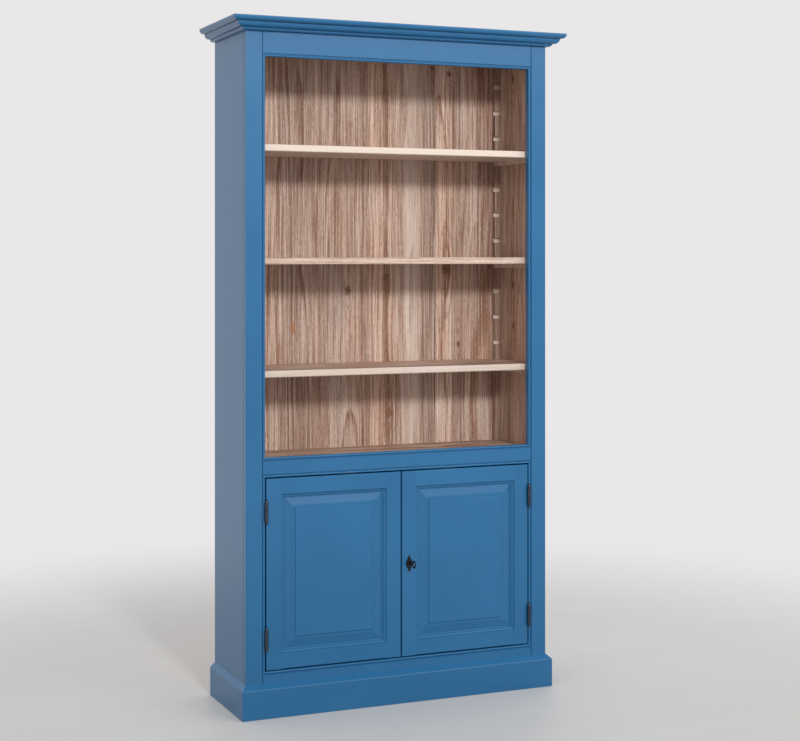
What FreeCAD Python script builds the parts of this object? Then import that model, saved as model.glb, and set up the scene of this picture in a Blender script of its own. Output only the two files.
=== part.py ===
import FreeCAD, Part
import os
import re

import Sketcher

# A painted pine bookcase with a two-door cabinet below and three loose shelves above.
# Millimetres. The origin is on the floor, below the centre of the outline: X runs to the
# right, Y to the back and Z up.

# ---------------------------------------------------------------------------------------
# Driving dimensions
# ---------------------------------------------------------------------------------------

SIZES = [
    ("overall_width", 1150, "outside width, over the cornice"),
    ("overall_depth", 380, "outside depth, from the cornice's edge to the back"),
    ("overall_height", 2170, "outside height"),
    ("side_thick", 22, "thickness of the side boards"),
    ("top_thick", 22, "thickness of the top board"),
    ("deck_thick", 22, "thickness of the deck board above the cabinet"),
    ("bottom_thick", 22, "thickness of the bottom board"),
    ("housing_deep", 6, "depth of the housings in the sides"),
    ("back_thick", 18, "thickness of the back boards"),
    ("back_rebate", 11, "width of the sides' rebate for the back boards"),
    ("back_foot", 30, "height of the back boards' lower ends above the floor"),
    ("tongue_thick", 6, "thickness of the back boards' tongues"),
    ("tongue_long", 7, "length of the back boards' tongues"),
    ("tongue_play", 0.3, "play of a tongue in its groove, each way"),
    ("frame_thick", 22, "thickness of the face frame"),
    ("stile_width", 63.4, "width of the face frame's stiles, bead included"),
    ("bead_wide", 7.8, "width of the bead around the openings"),
    ("quirk_wide", 3, "width of the groove beside the bead and at the frame's joints"),
    ("quirk_deep", 4.2, "depth of that groove"),
    ("top_rail_face", 78, "height of the top rail below the cornice"),
    ("middle_rail_top", 805.6, "upper edge of the middle rail"),
    ("middle_rail_high", 62.2, "height of the middle rail"),
    ("bottom_rail_top", 142, "upper edge of the bottom rail"),
    ("bottom_rail_high", 62, "height of the bottom rail"),
    ("frame_tenon", 30, "length of the face frame's tenons"),
    ("tenon_thick", 8, "thickness of all tenons"),
    ("tenon_play", 0.2, "play of a tenon in its mortise, each way"),
    ("edge_round", 2.5, "rounding of the outer upright edges"),
    ("joint_bevel", 1.5, "bevels along the joints between the sides and the face frame"),
    ("top_setback", 57, "height of the top board's underside above the opening"),
    ("top_reveal", 4, "depth of the carcass's top below the cornice's top"),
    ("deck_drop", 16, "height of the deck below the middle rail's upper edge"),
    ("bottom_drop", 6, "height of the bottom board below the bottom rail's upper edge"),
    ("cabinet_shelf_top", 440, "upper face of the shelf in the cabinet"),
    ("cabinet_shelf_thick", 20, "thickness of the shelf in the cabinet"),
    ("cabinet_shelf_set", 70, "distance of that shelf behind the face frame"),
    ("cornice_out", 52, "projection of the cornice"),
    ("cornice_high", 41, "height of the cornice"),
    ("cornice_top_round", 12.5, "radius of the cornice's upper round"),
    ("cornice_mid_round", 15.5, "radius of its middle round"),
    ("cornice_low_round", 7.5, "radius of its lower round"),
    ("cornice_step", 1, "height of the steps between the rounds"),
    ("cornice_ledge", 4, "width of the ledges between the rounds"),
    ("plinth_out", 16, "projection of the plinth"),
    ("plinth_high", 106, "height of the plinth"),
    ("plinth_rise", 18.5, "height of the slope and the nose at the plinth's upper edge"),
    ("plinth_nose", 7, "radius of the plinth's rounded nose"),
    ("block_long", 60, "length of the glue blocks"),
    ("block_side", 28, "width of the glue blocks"),
    ("rack_side", 22, "section of the square racks"),
    ("rack_first", 1036, "lower edge of the lowest notch"),
    ("rack_pitch", 88.6, "spacing of the notches"),
    ("rack_head", 60, "least height kept between the highest notch and the top board"),
    ("notch_deep", 12, "depth of a notch"),
    ("cleat_high", 15, "height of a cleat"),
    ("notch_play", 0.5, "play of a cleat in its notch"),
    ("shelf_thick", 22, "thickness of the loose shelves"),
    ("shelf_set", 9, "distance of the shelves' front edge behind the face frame"),
    ("shelf_play", 1.5, "play of a shelf to the sides, back and racks"),
    ("shelf_round", 4, "rounding of the shelves' front edges"),
    ("door_thick", 22, "thickness of the doors"),
    ("door_gap", 3.4, "gap beside and above the doors"),
    ("door_gap_low", 4, "gap below the doors"),
    ("meeting_gap", 4, "gap between the doors"),
    ("door_flat", 50, "flat width of the doors' stiles and rails"),
    ("door_mould", 12.5, "width of the moulding inside the doors' frames"),
    ("mould_first", 6, "radius of the moulding's outer round"),
    ("mould_fillet", 2, "width of the flat between the moulding's rounds"),
    ("mould_second", 4, "radius of the moulding's inner round"),
    ("door_round", 2.6, "rounding of the doors' front edges"),
    ("door_tenon", 36, "length of the doors' tenons"),
    ("panel_groove", 8, "depth of the panel's groove"),
    ("panel_edge", 6, "thickness of the panel's edge"),
    ("panel_front", 11, "depth of the panel's edge behind the door's face"),
    ("panel_play", 0.3, "play of the panel's edge in its groove, each way"),
    ("panel_room", 2, "room for the panel to swell in the groove"),
    ("panel_bevel", 24.5, "width of the panel's bevel"),
    ("bevel_rise", 5.6, "rise of the bevel from the panel's edge"),
    ("strip_rise", 1, "rise from the bevel to the flat strip around the field"),
    ("strip_wide", 8.5, "width of that strip"),
    ("panel_field", 1.2, "depth of the panel's field behind the door's face"),
    ("field_round", 3, "rounding of the field's edges"),
    ("hinge_top", 102, "height of the upper hinges below the door's top"),
    ("hinge_foot", 96, "height of the lower hinges above the door's foot"),
    ("hinge_proud", 7, "distance of the hinge's axis in front of the doors"),
    ("barrel_radius", 6, "radius of the hinge's barrel"),
    ("knuckle_long", 27.5, "length of each knuckle"),
    ("finial_long", 10.5, "length of the hinge's pointed ends"),
    ("finial_radius", 5.4, "radius of the hinge's pointed ends"),
    ("ring_high", 2, "height of the ring between the knuckles"),
    ("ring_radius", 6.8, "radius of that ring"),
    ("ring_play", 0.1, "play between the ring and the upper knuckle"),
    ("pin_radius", 3, "radius of the hinge's pin"),
    ("pin_play", 0.05, "play of the pin in the upper knuckle, all round"),
    ("pin_grip", 24, "length of the pin in each knuckle"),
    ("leaf_thick", 1.6, "thickness of the hinge's leaves"),
    ("leaf_sink", 0.5, "depth of a leaf in the wood's edge"),
    ("leaf_deep", 20, "reach of a leaf from the wood's face"),
    ("leaf_play", 0.1, "play around a leaf"),
    ("screw_radius", 1.5, "radius of the small screws"),
    ("screw_head", 2.9, "radius of their heads"),
    ("screw_long", 14, "length of the small screws"),
    ("screw_play", 0.05, "play around the small screws"),
    ("screw_spread", 8, "distance of a leaf's screws from its middle"),
    ("lock_wide", 44, "width of the lock's case"),
    ("lock_high", 56, "height of the lock's case"),
    ("lock_deep", 12, "depth of the lock's case"),
    ("lock_wall", 1.5, "wall of the lock's case"),
    ("lock_set", 1, "distance of the lock's case from the door's edge"),
    ("bolt_bar_high", 8, "height of the lock's bolt"),
    ("bolt_bar_thick", 6, "thickness of the lock's bolt"),
    ("bolt_bar_long", 34, "length of the lock's bolt"),
    ("bolt_bar_rise", 14, "height of the lock's bolt above the key"),
    ("bolt_bar_play", 0.3, "play around the lock's bolt"),
    ("strike_wide", 14, "width of the strike on the left door"),
    ("strike_wall", 3, "wall of that strike"),
    ("strike_play", 1, "play of the bolt in the strike, each way"),
    ("key_rise", 2.5, "height of the key above the lock's middle"),
    ("key_radius", 2.5, "radius of the key's shank"),
    ("key_play", 0.05, "play of the key in the lock's plate, all round"),
    ("keyhole_radius", 3.4, "radius of the keyhole in wood and escutcheon"),
    ("keyhole_slot", 3.2, "width of the keyhole's slot"),
    ("keyhole_drop", 10.5, "reach of the keyhole's slot below the key"),
    ("bit_drop", 9, "reach of the key's bit below its axis"),
    ("bit_thick", 2, "thickness of the key's bit"),
    ("bit_wide", 5, "width of the key's bit"),
    ("bow_reach", 39, "distance of the bow's centre in front of the door"),
    ("bow_radius", 10.5, "radius of the bow's middle line"),
    ("bow_wire", 2.3, "radius of the bow's wire"),
    ("collar_radius", 3.8, "radius of the key's collar"),
    ("collar_long", 4, "length of the key's collar"),
    ("plate_wide", 27, "width of the escutcheon"),
    ("plate_high", 56, "height of the escutcheon"),
    ("plate_thick", 2, "thickness of the escutcheon"),
    ("bolt_in", 28, "distance of the slide bolts from the left door's edge"),
    ("bolt_radius", 4, "radius of the slide bolts"),
    ("bolt_play", 0.05, "play of a slide bolt in its guides, all round"),
    ("bolt_long", 84, "length of the slide bolts"),
    ("bolt_off", 7, "distance of a slide bolt's axis behind the door"),
    ("bolt_short", 3, "distance of a slide bolt's tip inside the door's edge"),
    ("bolt_throw", 26, "travel of the slide bolts"),
    ("bolt_hole_play", 0.6, "play of a slide bolt in its keeper, all round"),
    ("guide_long", 10, "length of a slide bolt's guides"),
    ("guide_side", 13, "width of a slide bolt's guides"),
    ("base_wide", 26, "width of a slide bolt's base plate"),
    ("base_thick", 2, "thickness of a slide bolt's base plate"),
    ("knob_radius", 3.5, "radius of a slide bolt's knob"),
    ("knob_long", 12, "length of a slide bolt's knob"),
    ("keeper_high", 10, "height of the upper keeper"),
    ("keeper_gap", 4, "height of the upper keeper above the middle rail's lower edge"),
    ("stop_long", 50, "length of the door stops"),
    ("stop_thick", 14, "thickness of the door stops"),
    ("stop_lap", 6, "height by which a stop laps the door"),
    ("stop_at", 150, "distance of the door stops from the middle"),
    ("stop_play", 0.3, "play between a closed door and its stop"),
    ("overcut", 2, "distance that cuts run past the wood"),
]

BACK_BOARDS = 6
SHELVES = ("shelf_lower", "shelf_middle", "shelf_upper")

# Places that follow from the sizes. Each is an expression of sizes and other places.
PLACES = {
    "front": "cornice_out - overall_depth / 2",
    "rear": "overall_depth / 2",
    "frame_rear": "front + frame_thick",
    "back_face": "rear - back_thick",
    "half_body": "overall_width / 2 - cornice_out",
    "inner": "half_body - side_thick",
    "opening": "half_body - stile_width",
    "bead_zone": "bead_wide + quirk_wide",
    "shoulder": "opening + bead_zone",
    "nose_in": "plinth_out - plinth_nose",
    "carcass_top": "overall_height - top_reveal",
    "cornice_foot": "overall_height - cornice_high",
    "opening_top": "cornice_foot - top_rail_face",
    "top_under": "opening_top + top_setback",
    "middle_rail_foot": "middle_rail_top - middle_rail_high",
    "bottom_rail_foot": "bottom_rail_top - bottom_rail_high",
    "deck_top": "middle_rail_top - deck_drop",
    "deck_under": "deck_top - deck_thick",
    "bottom_top": "bottom_rail_top - bottom_drop",
    "bottom_under": "bottom_top - bottom_thick",
    "housed": "inner + housing_deep",
    "back_half": "inner + back_rebate",
    "board_wide": "back_half / 3",
    "shelf_front": "frame_rear + shelf_set",
    "shelf_rear": "back_face - shelf_play",
    "rack_inner": "inner - rack_side",
    "rack_front_rear": "frame_rear + rack_side",
    "rack_rear_front": "back_face - rack_side",
    "rack_notches": "floor((top_under - rack_head - rack_first) / rack_pitch) + 1",
    "shelf_steps": "floor(rack_notches / %d)" % len(SHELVES),
    "door_top": "middle_rail_foot - door_gap",
    "door_foot": "bottom_rail_top + door_gap_low",
    "door_outer": "opening - door_gap",
    "door_inner": "meeting_gap / 2",
    "door_rear": "front + door_thick",
    "outer_flat": "door_outer - door_flat",
    "outer_mould": "outer_flat - door_mould",
    "inner_flat": "door_inner + door_flat",
    "inner_mould": "inner_flat + door_mould",
    "low_flat": "door_foot + door_flat",
    "low_mould": "low_flat + door_mould",
    "high_flat": "door_top - door_flat",
    "high_mould": "high_flat - door_mould",
    "groove_front": "front + panel_front",
    "tenon_front": "front + (door_thick - tenon_thick) / 2",
    "frame_tenon_front": "front + (frame_thick - tenon_thick) / 2",
    "hinge_x": "opening - door_gap / 2",
    "hinge_y": "front - hinge_proud",
    "hinge_high": "door_top - hinge_top",
    "hinge_low": "door_foot + hinge_foot",
    "half_ring": "ring_high / 2",
    "leaf_wood": "hinge_x + door_gap / 2 + leaf_sink",
    "leaf_face": "leaf_wood - leaf_thick",
    "leaf_rear": "front + leaf_deep",
    "lock_z": "(door_top + door_foot) / 2",
    "lock_left": "door_inner + lock_set",
    "lock_rear": "door_rear + lock_deep",
    "key_x": "door_inner + door_flat / 2",
    "key_z": "lock_z + key_rise",
    "bar_z": "key_z + bolt_bar_rise",
    "bar_y": "door_rear + lock_deep / 2",
    "bow_y": "front - bow_reach",
    "slide_x": "-(door_inner + bolt_in)",
    "slide_y": "door_rear + bolt_off",
    "bolt_hole": "bolt_radius + bolt_hole_play",
    "keeper_foot": "middle_rail_foot + keeper_gap",
}

WORD = re.compile(r"[a-z][a-z0-9_]*(?![a-z0-9_(])")

doc = FreeCAD.newDocument("Bookcase")
sheet = doc.addObject("Spreadsheet::Sheet", "Sizes")
nodes = []


def fill_sheet():
    """Write every driving dimension to the sheet, with its meaning beside it."""
    for row, (alias, number, meaning) in enumerate(SIZES, 1):
        sheet.set("A%d" % row, meaning)
        sheet.set("B%d" % row, str(number))
        sheet.setAlias("B%d" % row, alias)
    doc.recompute()


def ex(text):
    """The sheet's expression for a text in which each word is a size or a place."""
    def meaning(match):
        word = match.group(0)
        if word in PLACES:
            return "(" + ex(PLACES[word]) + ")"
        return "Sizes." + word
    return WORD.sub(meaning, text)


def value(text):
    """The number that a text of sizes and places stands for now."""
    return float(sheet.evalExpression(ex(text)))


def minus(text):
    return "-(" + text + ")"


# ---------------------------------------------------------------------------------------
# Building blocks
# ---------------------------------------------------------------------------------------

TURNS = {
    "X": FreeCAD.Rotation(FreeCAD.Vector(0, 1, 0), 90),
    "Y": FreeCAD.Rotation(FreeCAD.Vector(1, 0, 0), -90),
    "Z": FreeCAD.Rotation(),
}


def arc_between(start, end, radius):
    """An arc from start to end that turns left when the radius is positive, else right."""
    chord = end - start
    middle = (start + end) * 0.5
    left = FreeCAD.Vector(-chord.y, chord.x, 0).normalize()
    rise = max(radius * radius - chord.Length ** 2 / 4, 0) ** 0.5
    centre = middle + left * (rise if radius > 0 else -rise)
    across = (middle - centre)
    if across.Length < 1e-6:
        across = left * -1 if radius > 0 else left
    top = centre + across.normalize() * abs(radius)
    return Part.Arc(start, top, end)


class Piece:
    """A solid of its own. Where hand is -1, X is measured to the left instead."""

    def __init__(self, label, hand=1):
        self.body = doc.addObject("PartDesign::Body", label)
        self.body.Label = label
        self.hand = hand

    def _across(self, low, high):
        return (low, high) if self.hand > 0 else (minus(high), minus(low))

    def _checked(self, feature, before):
        """Recompute, and make sure that an added or cut shape changed the volume."""
        doc.recompute()
        if abs(feature.Shape.Volume - before) < 1e-6:
            raise RuntimeError("%s: %s changes nothing" % (self.body.Label, feature.Label))
        return feature

    def _volume(self):
        return self.body.Tip.Shape.Volume if self.body.Tip else 0

    def box(self, x, y, z, kind="Additive"):
        """A box between pairs of places, added or cut."""
        before = self._volume()
        feature = self.body.newObject("PartDesign::%sBox" % kind, "Block")
        spans = (("Length", "x", self._across(*x)), ("Width", "y", y), ("Height", "z", z))
        for length, axis, (low, high) in spans:
            feature.setExpression(length, ex("(%s) - (%s)" % (high, low)))
            feature.setExpression("Placement.Base." + axis, ex(low))
        return self._checked(feature, before)

    def _place(self, feature, axis, centre, low):
        """Put a round feature's foot at low along its axis, through the centre."""
        feature.Placement = FreeCAD.Placement(FreeCAD.Vector(), TURNS[axis])
        across = [name for name in "XYZ" if name != axis]
        places = dict(zip(across, centre))
        places[axis] = low
        if self.hand < 0 and axis != "X":
            places["X"] = minus(places["X"])
        for name, place in places.items():
            feature.setExpression("Placement.Base." + name.lower(), ex(place))

    def _along(self, axis, span):
        return self._across(*span) if axis == "X" else span

    def rod(self, axis, centre, span, radius, kind="Additive"):
        """A cylinder along an axis, through a centre given by its other two places."""
        before = self._volume()
        low, high = self._along(axis, span)
        feature = self.body.newObject("PartDesign::%sCylinder" % kind, "Rod")
        feature.setExpression("Radius", ex(radius))
        feature.setExpression("Height", ex("(%s) - (%s)" % (high, low)))
        self._place(feature, axis, centre, low)
        return self._checked(feature, before)

    def cone(self, axis, centre, span, radii, kind="Additive"):
        """A cone along an axis, with its radii at the span's two ends."""
        before = self._volume()
        low, high = self._along(axis, span)
        if axis == "X" and self.hand < 0:
            radii = (radii[1], radii[0])
        feature = self.body.newObject("PartDesign::%sCone" % kind, "Cone")
        feature.setExpression("Radius1", ex(radii[0]))
        feature.setExpression("Radius2", ex(radii[1]))
        feature.setExpression("Height", ex("(%s) - (%s)" % (high, low)))
        self._place(feature, axis, centre, low)
        return self._checked(feature, before)

    def olive(self, centre, level, reach, radius):
        """An upright ellipsoid, for the pointed end of a barrel."""
        before = self._volume()
        feature = self.body.newObject("PartDesign::AdditiveEllipsoid", "Olive")
        feature.setExpression("Radius1", ex(reach))
        feature.setExpression("Radius2", ex(radius))
        feature.setExpression("Radius3", ex(radius))
        self._place(feature, "Z", centre, level)
        return self._checked(feature, before)

    def outline(self, plane, level, points, turn=1):
        """A closed sketch through points. A third entry rounds the side that ends there."""
        sketch = self.body.newObject("Sketcher::SketchObject", "Outline")
        role = plane + "_Plane"
        support = [item for item in self.body.Origin.OriginFeatures if item.Role == role]
        sketch.AttachmentSupport = (support[0], "")
        sketch.MapMode = "FlatFace"
        sketch.setExpression("AttachmentOffset.Base.z", ex(level))
        if self.hand < 0 and plane != "YZ":
            points = [(minus(point[0]),) + tuple(point[1:]) for point in points]
            turn = -turn
        corners = [FreeCAD.Vector(value(point[0]), value(point[1]), 0) for point in points]
        ends = []
        for index, point in enumerate(points):
            start, end = corners[index - 1], corners[index]
            radius = turn * value(point[2]) if len(point) > 2 else 0
            if radius:
                curve = arc_between(start, end, radius)
                sketch.addGeometry(curve, False)
                ends.append((1, 2) if radius > 0 else (2, 1))
            else:
                sketch.addGeometry(Part.LineSegment(start, end), False)
                ends.append((1, 2))
        count = len(points)
        for index in range(count):
            after = (index + 1) % count
            joint = (index, ends[index][1], after, ends[after][0])
            sketch.addConstraint(Sketcher.Constraint("Coincident", *joint))
        for index, point in enumerate(points):
            for kind, name, text, number in (
                    ("DistanceX", "u%d" % index, point[0], corners[index].x),
                    ("DistanceY", "v%d" % index, point[1], corners[index].y)):
                rule = Sketcher.Constraint(kind, -1, 1, index, ends[index][1], number)
                sketch.renameConstraint(sketch.addConstraint(rule), name)
                sketch.setExpression("Constraints." + name, ex(text))
            if len(point) > 2:
                rule = Sketcher.Constraint("Radius", index, abs(value(point[2])))
                name = "r%d" % index
                sketch.renameConstraint(sketch.addConstraint(rule), name)
                sketch.setExpression("Constraints." + name, ex(point[2].lstrip("-")))
        return sketch

    def prism(self, plane, span, points, kind="Pad", turn=1):
        """An outline drawn in a plane and run from one place to another, added or cut."""
        before = self._volume()
        low, high = self._across(*span) if plane == "YZ" else span
        if plane == "XZ":
            level = minus(high) if kind == "Pad" else minus(low)
        else:
            level = low if kind == "Pad" else high
        sketch = self.outline(plane, level, points, turn)
        feature = self.body.newObject("PartDesign::" + kind, kind)
        feature.Profile = sketch
        feature.setExpression("Length", ex("(%s) - (%s)" % (high, low)))
        return self._checked(feature, before)

    def _dressed(self, kind, measure, size, chosen):
        """Dress the edges for which chosen(edge) holds."""
        before = self._volume()
        base = self.body.Tip
        names = ["Edge%d" % number for number, edge in enumerate(base.Shape.Edges, 1) if chosen(edge)]
        feature = self.body.newObject("PartDesign::" + kind, kind)
        feature.Base = (base, names)
        feature.setExpression(measure, ex(size))
        return self._checked(feature, before)

    def ease(self, radius, chosen):
        """Round the edges for which chosen(edge) holds."""
        return self._dressed("Fillet", "Radius", radius, chosen)

    def bevel(self, size, chosen):
        """Bevel the edges for which chosen(edge) holds."""
        return self._dressed("Chamfer", "Size", size, chosen)


def near(first, second):
    return abs(first - second) < 0.01


def edge_at(hand, **places):
    """A test for straight edges whose ends both lie at the given places."""
    wanted = {axis: value(text) for axis, text in places.items()}
    if "x" in wanted:
        wanted["x"] = wanted["x"] * hand

    def chosen(edge):
        points = [vertex.Point for vertex in edge.Vertexes]
        if len(points) != 2 or not isinstance(edge.Curve, (Part.Line, Part.LineSegment)):
            return False
        return all(near(getattr(point, axis), number) for point in points for axis, number in wanted.items())
    return chosen


def rim_at(axis, text):
    """A test for the round edges of an end face."""
    number = value(text)

    def chosen(edge):
        return isinstance(edge.Curve, Part.Circle) and near(getattr(edge.Curve.Center, axis), number)
    return chosen


def node(label, pieces):
    """Keep one piece, or a group of separate pieces, as a sub-part."""
    if len(pieces) == 1:
        pieces[0].body.Label = label
        nodes.append(pieces[0].body)
        return
    group = doc.addObject("Part::Compound", label)
    group.Links = [piece.body for piece in pieces]
    group.Label = label
    nodes.append(group)


def both(name):
    """The two hands of a sub-part that comes in a left and a right."""
    return ((-1, name % "left"), (1, name % "right"))


# ---------------------------------------------------------------------------------------
# Carcass boards
# ---------------------------------------------------------------------------------------

def make_sides():
    """Side boards, housed for the level boards and rebated for the back."""
    levels = (
        ("bottom_under", "bottom_top", "frame_rear"),
        ("cabinet_shelf_top - cabinet_shelf_thick", "cabinet_shelf_top", "frame_rear + cabinet_shelf_set"),
        ("deck_under", "deck_top", "frame_rear"),
        ("top_under", "top_under + top_thick", "frame_rear"),
    )
    for hand, label in both("side_%s"):
        side = Piece(label, hand)
        side.box(("inner", "half_body"), ("frame_rear", "rear"), ("0", "carcass_top"))
        side.bevel("joint_bevel", edge_at(hand, x="half_body", y="frame_rear"))
        rebate = (("inner - overcut", "back_half"), ("back_face", "rear + overcut"))
        side.box(rebate[0], rebate[1], ("-overcut", "carcass_top + overcut"), "Subtractive")
        for low, high, first in levels:
            side.box(("inner - overcut", "housed"), (first, "back_face"), (low, high), "Subtractive")
        node(label, [side])


def make_level_boards():
    """Boards that lie between the sides, in their housings."""
    boards = (
        ("top_board", "frame_rear", "top_under", "top_under + top_thick"),
        ("deck_board", "frame_rear", "deck_under", "deck_top"),
        ("cabinet_shelf", "frame_rear + cabinet_shelf_set",
         "cabinet_shelf_top - cabinet_shelf_thick", "cabinet_shelf_top"),
        ("bottom_board", "frame_rear", "bottom_under", "bottom_top"),
    )
    for label, first, low, high in boards:
        board = Piece(label)
        board.box((minus("housed"), "housed"), (first, "back_face"), (low, high))
        if label == "bottom_board":
            reach = ("bottom_under - overcut", "bottom_top + overcut")
            board.rod("Z", ("slide_x", "slide_y"), reach, "bolt_hole", "Subtractive")
        if label == "cabinet_shelf":
            for level in (low, high):
                board.ease("edge_round", edge_at(1, y=first, z=level))
        node(label, [board])


def make_back_boards():
    """Upright boards of equal width: a tongue on the right of each fits the next one's groove."""
    middle = "(back_face + rear) / 2"
    heights = ("back_foot", "carcass_top")
    for number in range(BACK_BOARDS):
        label = "back_board_%d" % (number + 1)
        left = "board_wide * %d - back_half" % number
        right = "board_wide * %d - back_half" % (number + 1)
        board = Piece(label)
        board.box((left, right), ("back_face", "rear"), heights)
        if number < BACK_BOARDS - 1:
            tongue = (middle + " - tongue_thick / 2", middle + " + tongue_thick / 2")
            board.box((right, right + " + tongue_long"), tongue, heights)
        if number > 0:
            half = "(tongue_thick / 2 + tongue_play)"
            groove = (middle + " - " + half, middle + " + " + half)
            reach = (left + " - overcut", left + " + tongue_long + tongue_play")
            board.box(reach, groove, ("back_foot - overcut", "carcass_top + overcut"), "Subtractive")
        node(label, [board])


# ---------------------------------------------------------------------------------------
# Face frame, cornice and plinth
# ---------------------------------------------------------------------------------------

def bead_cut(edge, away, depth_first):
    """The section cut beside an opening's edge, which leaves a round bead and its groove.

    Away is the sign of the direction from the edge into the wood. Where depth_first is
    true the section's first place is the depth, else the second.
    """
    def across(text):
        return "%s %s (%s)" % (edge, away, text)
    over = "front - overcut"
    waist = "front + bead_wide / 2"
    bottom = "front + quirk_deep"
    radius = "bead_wide / 2"
    section = [
        (across("bead_zone"), over),
        (across("bead_zone"), bottom),
        (across("bead_wide"), bottom),
        (across("bead_wide"), waist),
        (across("bead_wide / 2"), "front", radius),
        (across("0"), waist, radius),
        (across("-overcut"), waist),
        (across("-overcut"), over),
    ]
    if depth_first:
        return [(point[1], point[0]) + tuple(point[2:]) for point in section]
    return section


def make_face_stiles():
    """Stiles that widen to the bead beside each opening, with mitres where rails meet them."""
    for hand, label in both("stile_%s"):
        stile = Piece(label, hand)
        stile.prism("XZ", ("front", "frame_rear"), [
            ("half_body", "0"),
            ("half_body", "carcass_top"),
            ("shoulder", "carcass_top"),
            ("shoulder", "opening_top + bead_zone"),
            ("opening", "opening_top"),
            ("opening", "middle_rail_top"),
            ("shoulder", "middle_rail_top - bead_zone"),
            ("shoulder", "middle_rail_foot + bead_zone"),
            ("opening", "middle_rail_foot"),
            ("opening", "bottom_rail_top"),
            ("shoulder", "bottom_rail_top - bead_zone"),
            ("shoulder", "0"),
        ])
        stile.prism("XY", ("-overcut", "carcass_top + overcut"), bead_cut("opening", "+", False), "Pocket", -1)
        tenon = ("frame_tenon_front - tenon_play", "frame_tenon_front + tenon_thick + tenon_play")
        reach = ("shoulder - overcut", "shoulder + frame_tenon + tenon_play")
        for low, high in frame_tenons():
            heights = (low + " - tenon_play", high + " + tenon_play")
            stile.box(reach, tenon, heights, "Subtractive")
        wood = ("opening - overcut", "leaf_wood + leaf_play")
        for level in ("hinge_low", "hinge_high"):
            low = level + " - half_ring - knuckle_long - leaf_play"
            high = level + " - half_ring + leaf_play"
            stile.box(wood, ("front - overcut", "leaf_rear + leaf_play"), (low, high), "Subtractive")
            for rise in leaf_screws(level, -1):
                reach_x = ("leaf_wood - overcut", "leaf_wood + screw_long")
                centre = ("front + leaf_deep / 2", rise)
                stile.rod("X", centre, reach_x, "screw_radius + screw_play", "Subtractive")
        stile.ease("edge_round", edge_at(hand, x="half_body", y="front"))
        stile.bevel("joint_bevel", edge_at(hand, x="half_body", y="frame_rear"))
        node(label, [stile])


def frame_tenons():
    """The heights of the face frame's tenons, from the bottom rail up."""
    return (
        ("bottom_rail_foot + tenon_thick", "bottom_rail_top - bead_zone - tenon_thick / 2"),
        ("middle_rail_foot + bead_zone + tenon_thick / 2", "middle_rail_top - bead_zone - tenon_thick / 2"),
        ("opening_top + bead_zone + tenon_thick", "carcass_top - tenon_thick * 2"),
    )


def make_face_rails():
    """Rails between the stiles, tenoned into them, with a bead on each edge at an opening."""
    half = "shoulder"
    rails = (
        ("rail_bottom", [
            (minus(half), "bottom_rail_foot"),
            (half, "bottom_rail_foot"),
            (half, "bottom_rail_top - bead_zone"),
            ("opening", "bottom_rail_top"),
            (minus("opening"), "bottom_rail_top"),
            (minus(half), "bottom_rail_top - bead_zone"),
        ], [("bottom_rail_top", "-", 1)]),
        ("rail_middle", [
            (minus("opening"), "middle_rail_foot"),
            ("opening", "middle_rail_foot"),
            (half, "middle_rail_foot + bead_zone"),
            (half, "middle_rail_top - bead_zone"),
            ("opening", "middle_rail_top"),
            (minus("opening"), "middle_rail_top"),
            (minus(half), "middle_rail_top - bead_zone"),
            (minus(half), "middle_rail_foot + bead_zone"),
        ], [("middle_rail_top", "-", 1), ("middle_rail_foot", "+", -1)]),
        ("rail_top", [
            (minus("opening"), "opening_top"),
            ("opening", "opening_top"),
            (half, "opening_top + bead_zone"),
            (half, "carcass_top"),
            (minus(half), "carcass_top"),
            (minus(half), "opening_top + bead_zone"),
        ], [("opening_top", "+", -1)]),
    )
    for (label, points, beads), (low, high) in zip(rails, frame_tenons()):
        rail = Piece(label)
        rail.prism("XZ", ("front", "frame_rear"), points)
        for edge, away, turn in beads:
            reach = ("-(shoulder + overcut)", "shoulder + overcut")
            rail.prism("YZ", reach, bead_cut(edge, away, True), "Pocket", -turn)
        heights = ("bottom_rail_foot - overcut", "carcass_top + overcut")
        groove = ("front - overcut", "front + quirk_deep")
        rail.box(("shoulder - quirk_wide", "shoulder + overcut"), groove, heights, "Subtractive")
        rail.box(("-(shoulder + overcut)", "quirk_wide - shoulder"), groove, heights, "Subtractive")
        depth = ("frame_tenon_front", "frame_tenon_front + tenon_thick")
        rail.box((half, "shoulder + frame_tenon"), depth, (low, high))
        rail.box(("-(shoulder + frame_tenon)", minus(half)), depth, (low, high))
        node(label, [rail])


def cornice_section():
    """The cornice's section, as places out from the carcass and up from the floor."""
    top_start = "(cornice_out - cornice_top_round)"
    mid_end = "(cornice_out - cornice_top_round - cornice_ledge)"
    mid_start = mid_end + " - cornice_mid_round"
    low_end = mid_start + " - cornice_ledge"
    low_rise = "cornice_foot + cornice_low_round"
    mid_foot = low_rise + " + cornice_step"
    mid_rise = mid_foot + " + cornice_mid_round"
    top_foot = mid_rise + " + cornice_step"
    return [
        ("0", "overall_height"),
        ("0", "cornice_foot"),
        (low_end + " - cornice_low_round", "cornice_foot"),
        (low_end, low_rise, "cornice_low_round"),
        (low_end, mid_foot),
        (mid_start, mid_foot),
        (mid_end, mid_rise, "cornice_mid_round"),
        (mid_end, top_foot),
        (top_start, top_foot),
        ("cornice_out", top_foot + " + cornice_top_round", "cornice_top_round"),
        ("cornice_out", "overall_height"),
    ]


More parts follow.
